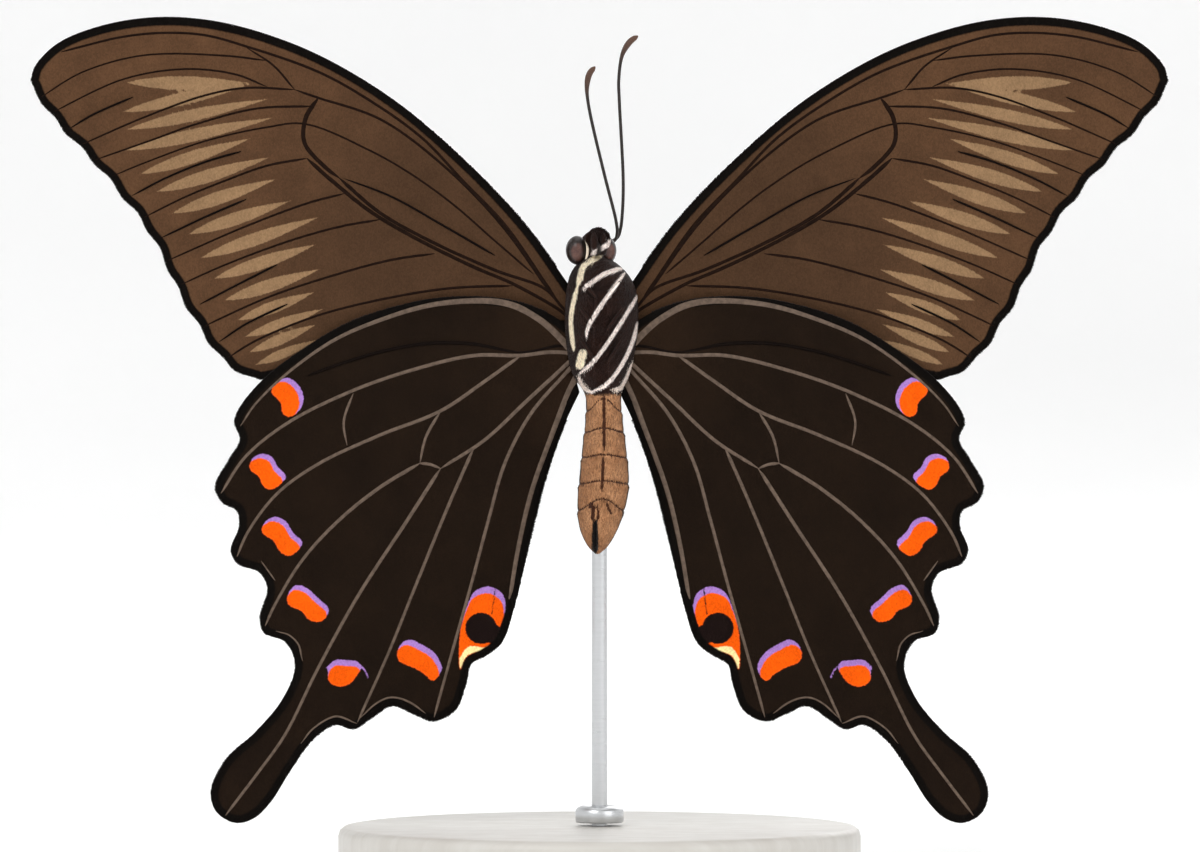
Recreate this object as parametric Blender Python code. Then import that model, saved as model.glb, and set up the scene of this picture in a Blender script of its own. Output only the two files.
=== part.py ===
"""Swallowtail butterfly, life size, wings spread, held upright on a plain display stand.

Lengths are in millimetres, and become metres as each mesh is made. X runs across the
wings, Z up along the body to the head, and Y from the underside (-Y) to the back (+Y).
The origin is the middle of the stand's underside. Places on the butterfly are given from
a point in the middle of its thorax, BODY_HEIGHT above the floor. Left and right are as
seen from the front of the stand, which shows the underside of the butterfly.
"""

import math

import bmesh
import bpy
import numpy as np
from mathutils import Matrix, Vector
from mathutils.geometry import delaunay_2d_cdt

MM = 0.001
GAP = 0.3                   # clearance between neighbouring pieces
TUBE_ROUNDING = 2           # bevel resolution of feelers, palps and legs

# Stand
BODY_HEIGHT = 51.5          # floor to the middle of the thorax
BASE_RADIUS = 25.0
BASE_THICK = 4.0
BASE_BEVEL = 0.5
BASE_SEAT = 1.3             # floor to the bottom of the rod's hole
ROD_RADIUS = 0.75
ROD_TOP = -1.5              # end of the rod inside the thorax
COLLAR_RADIUS = 2.3
COLLAR_HEIGHT = 1.6

# Wings: outlines of one side, in (x, z), from the root round by the tip and back
WING_THICK = 0.5
COSTA = [(2.6, 3.8), (7.0, 9.95), (13.0, 16.3), (20.0, 22.2), (28.0, 26.8),
         (36.0, 29.45), (42.0, 30.1), (48.0, 29.35), (52.3, 27.7), (54.5, 25.6), (54.95, 24.2)]
TERMEN = [(53.9, 22.1), (51.2, 18.9), (48.3, 15.8), (45.5, 12.4), (43.4, 9.6), (41.8, 6.6),
          (40.5, 3.8), (38.9, 1.0), (37.3, -1.4), (35.2, -3.7), (32.6, -4.75)]
HIND_MARGIN = [(28.0, -3.8), (18.0, -1.2), (8.0, 0.1), (2.6, 0.2)]
TERMEN_WAVES = 9            # shallow scallops along the forewing's outer edge
TERMEN_WAVE_DEPTH = 0.2

HIND_COSTA = [(2.6, 0.0), (4.6, 1.4), (7.5, 2.55), (10.5, 3.05), (14.5, 3.1), (19.0, 2.35), (24.0, 0.7),
              (28.5, -1.9), (32.3, -4.8)]
OUTER_TEETH = [(34.5, -7.4), (35.05, -8.9), (34.5, -10.5), (35.6, -12.5), (36.9, -15.0),
               (36.3, -16.5), (34.8, -17.4), (34.6, -18.9), (35.4, -21.1), (34.8, -22.4),
               (32.6, -23.3), (31.85, -24.9), (32.6, -27.6), (32.2, -29.1), (30.2, -29.9)]
TAIL = [(29.2, -32.1), (30.3, -35.3), (33.0, -38.6), (36.0, -41.4), (37.4, -44.5),
        (36.6, -46.7), (34.7, -47.45), (32.2, -46.0), (29.7, -42.3), (27.6, -39.4)]
LOWER_TEETH = [(25.4, -37.9), (23.6, -38.3), (22.1, -37.4), (19.9, -36.05), (17.9, -36.8),
               (15.9, -37.5), (13.8, -36.4), (12.8, -33.9), (12.3, -32.0), (10.9, -31.2)]
INNER_MARGIN = [(9.4, -30.0), (8.3, -27.0), (6.6, -20.0), (5.2, -14.5), (3.3, -9.0), (1.9, -6.0)]
TAIL_CUT = (28.4, -35.6)    # where the tail leaves the hindwing
TAIL_AXIS = (0.66, -0.75)
TAIL_BOX = 16.0             # reach of the cut round the tail
NET_STEP = 5.0              # spacing of the points inside a wing's outline

# Wing surface, as depth Y over (x, z)
WING_ROOT = (3.0, -0.2)     # x and y where the forewing leaves the thorax
DIHEDRAL = 0.09             # rise of the wing for each mm outwards
UPSWEEP = 0.0008            # growth of that rise towards the tip
CAMBER = 0.0012             # droop of the edges, over (z - CAMBER_MIDDLE) squared
CAMBER_MIDDLE = 8.0
HINDWING_STEP = 0.95        # the hindwing lies this far in front of the forewing
CAMBER_END = 14.0           # the hindwing's camber grows no further than this below its middle
TAIL_SWEEP = 0.0011         # below SWEEP_START the hindwing curves towards the back
SWEEP_START = -12.0
FOLD_DEPTH = 1.1            # the inner margin curls towards the back, beside the abdomen
FOLD_WIDTH = 2.2
FOLD_START = (2.4, -6.9)    # x and z of the fold's upper end
FOLD_SLOPE = 0.3            # x gained by the inner margin for each mm down
FOLD_RISE = 6.0

# Trunk: (z, centre x, half width, centre y, half depth) from the rear end up
TRUNK = [(-21.4, -0.2, 0.35, -4.1, 0.4), (-20.6, -0.15, 1.1, -4.1, 1.2), (-19.3, -0.08, 1.8, -4.0, 1.75),
         (-18.0, 0.05, 2.2, -3.9, 2.1), (-16.0, 0.3, 2.48, -3.75, 2.3), (-14.0, 0.45, 2.45, -3.6, 2.3),
         (-11.0, 0.45, 2.15, -3.4, 2.1), (-8.5, 0.43, 1.87, -3.05, 1.8), (-6.2, 0.35, 1.85, -2.6, 1.85),
         (-4.3, 0.15, 2.8, -1.7, 2.85), (-2.0, 0.15, 3.35, -1.3, 3.5), (1.0, 0.2, 3.6, -1.2, 3.75),
         (4.0, 0.15, 3.35, -1.3, 3.4), (5.6, -0.1, 2.6, -1.5, 2.7), (6.7, -0.3, 1.5, -1.6, 1.7)]
TIP_LENGTH = 0.35
RING_COUNT = 40
RING_SIDES = 20
WAIST = -6.2                # where the abdomen leaves the thorax
SEGMENT_LINES = (-9.7, -12.1, -14.6, -16.7)
SEGMENT_DEPTH = 0.04        # share of the radius by which each joint is drawn in
SEGMENT_SPREAD = 0.25
CLASPER_TOP = -17.9
TRUNK_BOX = 10              # half width of the boxes that part the trunk
CLASPER_SLIT = (-0.4, 0.4)  # place and width of the slit between the claspers

# Head, turned a little so that the left eye comes forward
HEAD_AT = (-0.8, -1.5, 8.15)
HEAD_SIZE = (1.4, 1.35, 1.3)
HEAD_TURN = math.radians(15)
EYE_OFFSET = 1.5
EYE_DROP = 0.3
EYE_SIZE = (0.98, 1.2, 1.32)
PALP_OFFSET = 0.98
PALP_PATH = [(-2.0, -0.95), (-2.5, -0.4), (-2.6, 0.5), (-2.15, 1.6)]   # forward (-) and up from the head
PALP_RADII = [0.34, 0.46, 0.48, 0.25]
COIL_AT = (-2.45, -0.4)
COIL_RADIUS = 0.8
COIL_THICK = 0.5

# Feelers: (x, y, z) from base to tip
ANTENNA_LEFT = [(0.35, 0.45, 8.35), (1.0, 0.35, 8.3), (1.5, 0.2, 8.6), (1.7, 0.0, 9.3),
                (1.58, -0.3, 10.4), (1.28, -0.5, 11.7), (0.5, -0.7, 14.7), (-1.05, -0.3, 21.5),
                (-1.2, -0.1, 23.3), (-0.95, 0.0, 24.5), (-0.4, 0.0, 25.2)]
ANTENNA_RIGHT = [(0.35, 1.3, 8.6), (1.1, 1.35, 8.5), (1.75, 1.2, 8.9), (2.02, 1.0, 9.7),
                 (2.17, 0.8, 10.9), (2.28, 0.6, 14.0), (1.9, 0.9, 22.0), (1.85, 1.0, 24.0),
                 (2.2, 1.1, 26.4), (2.9, 1.1, 27.6), (3.7, 1.1, 28.2)]
ANTENNA_RADIUS = 0.25
CLUB_RADIUS = 0.38
CLUB_LENGTH = 0.2           # share of the feeler's length

# Legs, folded against the underside: name, hip (x, z), knee (x, z)
LEGS = [("fore", (0.75, 3.0), (1.9, 4.4)), ("mid", (0.85, 0.1), (2.2, 1.9)),
        ("hind", (0.85, -3.1), (2.1, -1.1))]
LEG_MIDDLE = 0.2            # place of the line that the two rows of legs mirror in
LEG_RADIUS = 0.25
THIGH_LIFT = 0.55           # centre of the thigh above the thorax
SHIN_LIFT = 1.35
FOOT_DROP = (0.1, -1.6)     # the foot runs back from the shin's end
LEG_PIECES = (4, 1, 4, 2)   # steps along the thigh, the knee, the shin and the foot


def clear_scene():
    for item in list(bpy.data.objects):
        bpy.data.objects.remove(item, do_unlink=True)


def material(name, colour, roughness, metallic=0.0):
    made = bpy.data.materials.new(name)
    made.use_nodes = True
    shader = made.node_tree.nodes["Principled BSDF"]
    shader.inputs["Base Color"].default_value = (*colour, 1.0)
    shader.inputs["Roughness"].default_value = roughness
    shader.inputs["Metallic"].default_value = metallic
    return made


def add_object(name, mesh, finish=None):
    made = bpy.data.objects.new(name, mesh)
    bpy.context.scene.collection.objects.link(made)
    if finish:
        made.data.materials.append(finish)
    return made


def mesh_from(name, points, faces):
    """A mesh from points in mm, given from the middle of the thorax."""
    mesh = bpy.data.meshes.new(name)
    lifted = (np.asarray(points, float) + (0, 0, BODY_HEIGHT)) * MM
    mesh.from_pydata([tuple(p) for p in lifted], [], faces)
    work = bmesh.new()
    work.from_mesh(mesh)
    bmesh.ops.recalc_face_normals(work, faces=work.faces)
    work.to_mesh(mesh)
    work.free()
    return mesh


def as_cutter(made):
    made.hide_render = True
    made.display_type = "WIRE"
    return made


def cut(target, tool, operation="DIFFERENCE"):
    modifier = target.modifiers.new("cut", "BOOLEAN")
    modifier.object = tool
    modifier.operation = operation
    modifier.solver = "EXACT"


def smooth_curve(points, per_span):
    """A centripetal Catmull-Rom curve through the points, per_span steps to a span."""
    p = np.asarray(points, float)
    p = np.vstack([2 * p[0] - p[1], p, 2 * p[-1] - p[-2]])
    steps = np.arange(per_span)[:, None] / per_span
    made = []
    for a, b, c, d in zip(p, p[1:], p[2:], p[3:]):
        k1, k2, k3 = np.cumsum([math.sqrt(np.linalg.norm(q)) for q in (b - a, c - b, d - c)])
        u = k1 + (k2 - k1) * steps
        ab = a + (b - a) * u / k1
        bc = b + (c - b) * (u - k1) / (k2 - k1)
        cd = c + (d - c) * (u - k2) / (k3 - k2)
        abc, bcd = ab + (bc - ab) * u / k2, bc + (cd - bc) * (u - k1) / (k3 - k1)
        made.append(abc + (bcd - abc) * (u - k1) / (k2 - k1))
    return np.vstack(made + [p[-2:-1]])


def forewing_outline():
    """Leading edge, waved outer edge and hind margin of the forewing, as one loop."""
    costa = smooth_curve(COSTA, 4)
    termen = smooth_curve([COSTA[-1]] + TERMEN, 6)
    along = np.linspace(0, 1, len(termen))
    across = np.gradient(termen, axis=0) @ np.array([[0, 1], [-1, 0]])
    across /= np.linalg.norm(across, axis=1)[:, None]
    ends = np.clip(np.minimum(along / 0.06, (1 - along) / 0.12), 0, 1)
    wave = TERMEN_WAVE_DEPTH * ends * np.cos(2 * math.pi * TERMEN_WAVES * along)
    hind = smooth_curve([TERMEN[-1]] + HIND_MARGIN, 3)
    return np.vstack([costa[:-1], termen - across * wave[:, None], hind[1:]])


def hindwing_outline():
    return smooth_curve(HIND_COSTA + OUTER_TEETH + TAIL + LOWER_TEETH + INNER_MARGIN, 4)


def forewing_depth(x, z):
    """Depth Y of the forewing's middle surface: dihedral, upsweep and camber."""
    out = x - WING_ROOT[0]
    return WING_ROOT[1] + DIHEDRAL * out + UPSWEEP * out * abs(out) - CAMBER * (z - CAMBER_MIDDLE) ** 2


def hindwing_depth(x, z):
    """Depth Y of the hindwing: before the forewing, its tail swept back and its inner edge folded."""
    camber = CAMBER * np.maximum(z - CAMBER_MIDDLE, -CAMBER_END) ** 2
    sweep = TAIL_SWEEP * np.minimum(z - SWEEP_START, 0) ** 2
    margin = FOLD_START[0] + FOLD_SLOPE * np.maximum(FOLD_START[1] - z, 0)
    fold = FOLD_DEPTH * np.exp(-np.maximum(x - margin, 0) / FOLD_WIDTH)
    fold = fold * np.clip((FOLD_START[1] - z) / FOLD_RISE, 0, 1)
    return forewing_depth(x, CAMBER_MIDDLE) - HINDWING_STEP - camber + sweep + fold


def inside(loop, points, clearance):
    """True for the points inside the loop and at least clearance from its points."""
    a, b = loop, np.roll(loop, -1, axis=0)
    x, z = points[:, :1], points[:, 1:]
    crosses = (a[:, 1] > z) != (b[:, 1] > z)
    rise = np.where(b[:, 1] == a[:, 1], 1.0, b[:, 1] - a[:, 1])
    left = x < a[:, 0] + (b[:, 0] - a[:, 0]) * (z - a[:, 1]) / rise
    away = np.linalg.norm(points[:, None] - loop[None], axis=2).min(axis=1)
    return ((crosses & left).sum(axis=1) % 2 == 1) & (away > clearance)


def wing(name, loop, depth, side, finish):
    """A wing of even thickness: the outline filled by triangles, laid on its surface and thickened."""
    low, high = loop.min(axis=0), loop.max(axis=0)
    grid = np.stack(np.meshgrid(*(np.arange(l, h, NET_STEP) for l, h in zip(low, high))), -1).reshape(-1, 2)
    net = grid[inside(loop, grid, NET_STEP * 0.3)]
    flat = [Vector(p) for p in np.vstack([loop, net])]
    points, _, faces, *_ = delaunay_2d_cdt(flat, [], [list(range(len(loop)))], 1, 1e-6)
    placed = [(side * p.x, float(depth(p.x, p.y)), p.y) for p in points]
    made = add_object(name, mesh_from(name, placed, faces), finish)
    solid = made.modifiers.new("thickness", "SOLIDIFY")
    solid.thickness = WING_THICK * MM
    solid.offset = 0.0
    return made


def read_trunk(z):
    """Centre x, half width, centre y and half depth of the trunk at heights z."""
    curve = smooth_curve(TRUNK, 12)
    return [np.interp(z, curve[:, 0], curve[:, i]) for i in range(1, 5)]


def trunk_mesh(name, swell=0.0):
    """The whole trunk as a closed stack of oval rings, drawn in at each joint of the abdomen."""
    near = [line + step for line in SEGMENT_LINES for step in (-SEGMENT_SPREAD, 0.0, SEGMENT_SPREAD)]
    even = np.linspace(TRUNK[0][0], TRUNK[-1][0], RING_COUNT)
    z = np.array(sorted(near + [h for h in even if min(abs(h - n) for n in near) > SEGMENT_SPREAD]))
    drawn = sum(np.exp(-((z - line) / SEGMENT_SPREAD) ** 2) for line in SEGMENT_LINES)
    cx, a, cy, b = read_trunk(z)
    a, b = ((half + swell) * (1 - SEGMENT_DEPTH * drawn) for half in (a, b))
    turn = np.linspace(0, 2 * math.pi, RING_SIDES, endpoint=False)
    x = cx[:, None] + a[:, None] * np.cos(turn)
    y = cy[:, None] + b[:, None] * np.sin(turn)
    rings = np.stack([x, y, np.broadcast_to(z[:, None], x.shape)], -1).reshape(-1, 3)
    tip = TIP_LENGTH + swell
    ends = [(cx[0], cy[0], z[0] - tip), (cx[-1], cy[-1], z[-1] + tip)]
    n, count = RING_SIDES, len(z)
    faces = [(i * n + j, i * n + (j + 1) % n, (i + 1) * n + (j + 1) % n, (i + 1) * n + j)
             for i in range(count - 1) for j in range(n)]
    faces += [(count * n, (j + 1) % n, j) for j in range(n)]
    faces += [(count * n + 1, (count - 1) * n + j, (count - 1) * n + (j + 1) % n) for j in range(n)]
    return mesh_from(name, np.vstack([rings, ends]), faces)


def trunk_front(x, z):
    """Depth Y of the trunk's underside at (x, z)."""
    cx, a, cy, b = read_trunk(z)
    return float(cy - b * math.sqrt(max(1 - ((x - cx) / a) ** 2, 0.05)))


def ball(name, centre, size, turn=0.0, swell=0.0, finish=None):
    """An ellipsoid with the given half sizes, turned about Z."""
    mesh = bpy.data.meshes.new(name)
    work = bmesh.new()
    bmesh.ops.create_uvsphere(work, u_segments=18, v_segments=10, radius=1.0)
    place = Matrix.Translation(Vector(centre) + Vector((0, 0, BODY_HEIGHT))) @ Matrix.Rotation(turn, 4, "Z")
    place = place @ Matrix.Diagonal((*(s + swell for s in size), 1.0))
    work.transform(Matrix.Scale(MM, 4) @ place)
    work.to_mesh(mesh)
    work.free()
    return add_object(name, mesh, finish)


def box(name, low, high, turn=0.0):
    """A box between two corners, turned about Y at the origin of its corners."""
    mesh = bpy.data.meshes.new(name)
    work = bmesh.new()
    bmesh.ops.create_cube(work, size=1.0)
    size = Vector(high) - Vector(low)
    place = Matrix.Translation((Vector(low) + Vector(high)) / 2) @ Matrix.Diagonal((*size, 1.0))
    work.transform(Matrix.Scale(MM, 4) @ Matrix.Rotation(turn, 4, "Y") @ place)
    work.to_mesh(mesh)
    work.free()
    return mesh


def disc(name, radius, low, high, sides, finish=None):
    """An upright round disc between two heights above the floor."""
    mesh = bpy.data.meshes.new(name)
    work = bmesh.new()
    bmesh.ops.create_cone(work, cap_ends=True, segments=sides, radius1=radius * MM, radius2=radius * MM,
                          depth=(high - low) * MM)
    work.transform(Matrix.Translation((0, 0, (low + high) / 2 * MM)))
    work.to_mesh(mesh)
    work.free()
    return add_object(name, mesh, finish)


def tube(name, points, radii, finish):
    """A round tube along the points, in mm from the middle of the thorax, with its radius at each."""
    curve = bpy.data.curves.new(name, "CURVE")
    curve.dimensions = "3D"
    curve.bevel_depth = MM
    curve.bevel_resolution = TUBE_ROUNDING
    curve.use_fill_caps = True
    spline = curve.splines.new("POLY")
    spline.points.add(len(points) - 1)
    for knot, place, radius in zip(spline.points, points, radii):
        knot.co = (*((np.asarray(place) + (0, 0, BODY_HEIGHT)) * MM), 1.0)
        knot.radius = radius
    return add_object(name, curve, finish)


def make_stand():
    wood = material("stand_base", (0.62, 0.60, 0.57), 0.5)
    steel = material("stand_steel", (0.62, 0.62, 0.63), 0.3, 1.0)
    base = disc("stand_base", BASE_RADIUS, 0.0, BASE_THICK, 48, wood)
    bevel = base.modifiers.new("edge", "BEVEL")
    bevel.width = BASE_BEVEL * MM
    bevel.segments = 2
    hole = disc("base_hole", ROD_RADIUS + GAP, BASE_SEAT - GAP, BASE_THICK + 1, 16)
    cut(base, as_cutter(hole))
    disc("stand_rod", ROD_RADIUS, BASE_SEAT, BODY_HEIGHT + ROD_TOP, 16, steel)
    seat = BASE_THICK + GAP
    collar = disc("stand_collar", COLLAR_RADIUS, seat, seat + COLLAR_HEIGHT, 32, steel)
    cut(collar, as_cutter(disc("collar_bore", ROD_RADIUS + GAP, BASE_THICK, BASE_THICK + 3, 16)))


def tail_box(name, side, shift):
    """A box whose edge runs across the tail's root, moved by shift along the tail."""
    turn = side * math.atan2(*TAIL_AXIS)
    root = Vector((side * TAIL_CUT[0], 0, TAIL_CUT[1] + BODY_HEIGHT))
    root = Matrix.Rotation(-turn, 4, "Y") @ root
    low = root + Vector((-TAIL_BOX, -TAIL_BOX, shift))
    high = root + Vector((TAIL_BOX, TAIL_BOX, 2 * TAIL_BOX))
    return as_cutter(add_object(f"{name}_cut", box(f"{name}_cut", low, high, turn)))


def make_wings(trunk_space):
    brown = material("forewing_scales", (0.075, 0.045, 0.022), 0.75)
    black = material("hindwing_scales", (0.016, 0.010, 0.006), 0.75)
    for side, word in ((-1, "left"), (1, "right")):
        cut(wing(f"forewing_{word}", forewing_outline(), forewing_depth, side, brown), trunk_space)
        hindwing = wing(f"hindwing_{word}", hindwing_outline(), hindwing_depth, side, black)
        cut(hindwing, tail_box(hindwing.name, side, -GAP))
        cut(hindwing, trunk_space)
        tail = wing(f"tail_{word}", hindwing_outline(), hindwing_depth, side, black)
        cut(tail, tail_box(tail.name, side, 0.0), "INTERSECT")


def make_trunk():
    """Thorax, abdomen and the two claspers, parted from one trunk by thin cuts.

    It hands back the shape, a gap wider than the trunk, that its neighbours are cut by.
    """
    dark = material("body_hair", (0.02, 0.012, 0.010), 0.9)
    tan = material("abdomen_scales", (0.38, 0.20, 0.09), 0.8)
    slit, width = CLASPER_SLIT
    waist, top, wide = BODY_HEIGHT + WAIST, BODY_HEIGHT + CLASPER_TOP, TRUNK_BOX
    pieces = (("thorax", dark, (-wide, -wide, waist), (wide, wide, waist + 2 * wide)),
              ("abdomen", tan, (-wide, -wide, top), (wide, wide, waist - GAP)),
              ("clasper_left", tan, (-wide, -wide, top - wide), (slit - width / 2, wide, top - GAP)),
              ("clasper_right", tan, (slit + width / 2, -wide, top - wide), (wide, wide, top - GAP)))
    for name, finish, low, high in pieces:
        made = add_object(name, trunk_mesh(name), finish)
        cut(made, as_cutter(add_object(f"{name}_part", box(f"{name}_part", low, high))), "INTERSECT")
    rod_space = disc("rod_space", ROD_RADIUS + GAP, waist - 5, BODY_HEIGHT + ROD_TOP + GAP, 16)
    cut(bpy.data.objects["thorax"], as_cutter(rod_space))
    return as_cutter(add_object("trunk_space", trunk_mesh("trunk_space", GAP)))


def head_place(across, forward, up):
    """A point of the turned head, from its middle: across to the right, forward to the front, and up."""
    turned = Matrix.Rotation(HEAD_TURN, 3, "Z") @ Vector((across, forward, up))
    return Vector(HEAD_AT) + turned


def make_head(trunk_space):
    dark = material("head_hair", (0.02, 0.012, 0.010), 0.9)
    lens = material("eye", (0.06, 0.025, 0.015), 0.15)
    horn = material("proboscis", (0.03, 0.015, 0.010), 0.4)
    head = ball("head", HEAD_AT, HEAD_SIZE, HEAD_TURN, 0.0, dark)
    cut(head, trunk_space)
    for side, word in ((-1, "left"), (1, "right")):
        centre = head_place(side * EYE_OFFSET, 0, -EYE_DROP)
        cut(ball(f"eye_{word}", centre, EYE_SIZE, HEAD_TURN, 0.0, lens), trunk_space)
        cut(head, as_cutter(ball(f"eye_{word}_socket", centre, EYE_SIZE, HEAD_TURN, GAP)))
        path = smooth_curve([head_place(side * PALP_OFFSET, f, u) for f, u in PALP_PATH], 4)
        radii = np.interp(np.linspace(0, 3, len(path)), range(4), PALP_RADII)
        tube(f"palp_{word}", path, radii, dark)
    make_coil(horn)


def make_coil(finish):
    """The coiled proboscis as a disc standing on edge between the palps."""
    coil = bpy.data.meshes.new("proboscis")
    work = bmesh.new()
    bmesh.ops.create_cone(work, cap_ends=True, segments=24, radius1=COIL_RADIUS,
                          radius2=COIL_RADIUS, depth=COIL_THICK)
    place = Matrix.Translation(head_place(0, *COIL_AT) + Vector((0, 0, BODY_HEIGHT)))
    turn = Matrix.Rotation(HEAD_TURN, 4, "Z") @ Matrix.Rotation(math.pi / 2, 4, "Y")
    work.transform(Matrix.Scale(MM, 4) @ place @ turn)
    work.to_mesh(coil)
    work.free()
    add_object("proboscis", coil, finish)


def make_antennae():
    dark = material("antenna", (0.015, 0.010, 0.008), 0.6)
    for word, route in (("left", ANTENNA_LEFT), ("right", ANTENNA_RIGHT)):
        path = smooth_curve(route, 3)
        along = np.linspace(0, 1, len(path))
        club = np.sin(np.clip((along - 1 + CLUB_LENGTH) / CLUB_LENGTH, 0, 1) * math.pi * 0.8)
        tube(f"antenna_{word}", path, ANTENNA_RADIUS + (CLUB_RADIUS - ANTENNA_RADIUS) * club, dark)


def leg_path(side, hip, knee):
    """The folded leg on the underside: out to the knee, up, back over the thigh and on to the foot."""
    (hip_x, hip_z), (knee_x, knee_z) = hip, knee
    hip_x, knee_x = (LEG_MIDDLE + side * (x - LEG_MIDDLE) for x in (hip_x, knee_x))
    foot = (hip_x + side * FOOT_DROP[0], hip_z + FOOT_DROP[1])
    stops = np.array([(hip_x, hip_z, THIGH_LIFT), (knee_x, knee_z, THIGH_LIFT),
                      (knee_x, knee_z, SHIN_LIFT), (hip_x, hip_z, SHIN_LIFT), (*foot, SHIN_LIFT)])
    marks = [stops[i] + t * (stops[i + 1] - stops[i])
             for i, pieces in enumerate(LEG_PIECES) for t in np.arange(pieces) / pieces]
    return [(x, trunk_front(x, z) - lift, z) for x, z, lift in marks + [stops[-1]]]


def make_legs():
    dark = material("leg", (0.015, 0.010, 0.008), 0.6)
    for side, word in ((-1, "left"), (1, "right")):
        for name, hip, knee in LEGS:
            path = leg_path(side, hip, knee)
            tube(f"leg_{name}_{word}", path, [LEG_RADIUS] * len(path), dark)


def main():
    clear_scene()
    make_stand()
    trunk_space = make_trunk()
    make_wings(trunk_space)
    make_head(trunk_space)
    make_antennae()
    make_legs()


main()
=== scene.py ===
"""The butterfly's looks: wing skins with their markings and veins, a furred body, and a plain mount."""

import math

import bpy
import numpy as np
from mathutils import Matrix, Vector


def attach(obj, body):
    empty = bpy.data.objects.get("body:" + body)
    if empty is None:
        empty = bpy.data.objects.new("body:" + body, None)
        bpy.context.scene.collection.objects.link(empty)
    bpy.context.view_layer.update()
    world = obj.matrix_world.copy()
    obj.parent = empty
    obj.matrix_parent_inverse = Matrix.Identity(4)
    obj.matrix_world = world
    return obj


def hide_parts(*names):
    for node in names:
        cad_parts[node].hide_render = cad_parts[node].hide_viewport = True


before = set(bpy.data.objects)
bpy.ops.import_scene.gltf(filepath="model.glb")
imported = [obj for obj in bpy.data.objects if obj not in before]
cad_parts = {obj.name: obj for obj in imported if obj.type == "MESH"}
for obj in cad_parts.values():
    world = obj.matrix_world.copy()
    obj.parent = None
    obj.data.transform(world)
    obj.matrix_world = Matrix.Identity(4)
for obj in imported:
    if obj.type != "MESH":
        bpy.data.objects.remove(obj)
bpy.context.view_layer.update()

# Lengths are in millimetres. x is across and z is up from the middle of the thorax; the face of the
# wings that shows their orange spots looks along -y.
MM = 0.001
BODY_HEIGHT = 51.5
FAR = 99.0
NEAR = 1.5
MOST_AT_ONCE = 3_000_000

# ---------------------------------------------------------------- wing outlines and camber
COSTA = [(2.6, 3.8), (7.0, 9.95), (13.0, 16.3), (20.0, 22.2), (28.0, 26.8), (36.0, 29.45),
         (42.0, 30.1), (48.0, 29.35), (52.3, 27.7), (54.5, 25.6), (54.95, 24.2)]
TERMEN = [(53.9, 22.1), (51.2, 18.9), (48.3, 15.8), (45.5, 12.4), (43.4, 9.6), (41.8, 6.6),
          (40.5, 3.8), (38.9, 1.0), (37.3, -1.4), (35.2, -3.7), (32.6, -4.75)]
HIND_MARGIN = [(28.0, -3.8), (18.0, -1.2), (8.0, 0.1), (2.6, 0.2)]
TERMEN_WAVES = 9
TERMEN_WAVE_DEPTH = 0.15
TERMEN_WAVE_FADE = 0.125

HIND_COSTA = [(2.6, 0.0), (4.6, 1.4), (7.5, 2.55), (10.5, 3.05), (14.5, 3.1), (19.0, 2.35),
              (24.0, 0.7), (28.5, -1.9), (32.3, -4.8)]
OUTER_TEETH = [(34.5, -7.4), (35.05, -8.9), (34.5, -10.5), (35.6, -12.5), (36.9, -15.0),
               (36.3, -16.5), (34.8, -17.4), (34.6, -18.9), (35.4, -21.1), (34.8, -22.4),
               (32.6, -23.3), (31.85, -24.9), (32.6, -27.6), (32.2, -29.1), (30.2, -29.9)]
TAIL_OUTER = [(29.2, -32.1), (30.3, -35.3), (33.0, -38.6), (36.0, -41.4), (37.4, -44.5), (36.85, -46.4)]
TAIL_TIP = (35.1, -47.4)
TAIL_INNER = [(33.4, -47.0), (31.7, -45.4), (29.7, -42.3), (27.6, -39.4)]
LOWER_TEETH = [(25.4, -37.9), (23.6, -38.3), (22.1, -37.4), (19.9, -36.05), (17.9, -36.8),
               (15.9, -37.5), (13.8, -36.4), (12.8, -33.9), (12.3, -32.0), (10.9, -31.2)]
INNER_MARGIN = [(9.4, -30.0), (8.3, -27.0), (6.6, -20.0), (5.2, -14.5), (3.3, -9.0), (1.9, -6.0)]

WING_ROOT = (3.0, -0.2)
DIHEDRAL = 0.09
UPSWEEP = 0.0008
CAMBER = 0.0012
CAMBER_MIDDLE = 8.0
CAMBER_END = 14.0
HINDWING_STEP = 0.95
TAIL_SWEEP = 0.0011
SWEEP_START = -12.0
FOLD_DEPTH = 1.1
FOLD_WIDTH = 2.2
FOLD_START = (2.4, -6.9)
FOLD_SLOPE = 0.3
FOLD_RISE = 6.0
ROW_CROWDING = 0.75

WING_HALF_THICK = 0.11
EDGE_HALF_THICK = 0.03
EDGE_TAPER = 0.6
VEIN_STAND = 0.05
VEIN_ENDS = (0.65, 0.5)
VEIN_POINT = 1.2
FOLD_STAND = 0.04
FOLD_SINK = 0.03
BORDER_REACH = 0.3
PLEAT = 0.16
PLEAT_WIDTH = 0.9
PLEAT_FADE = 2.0

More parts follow.
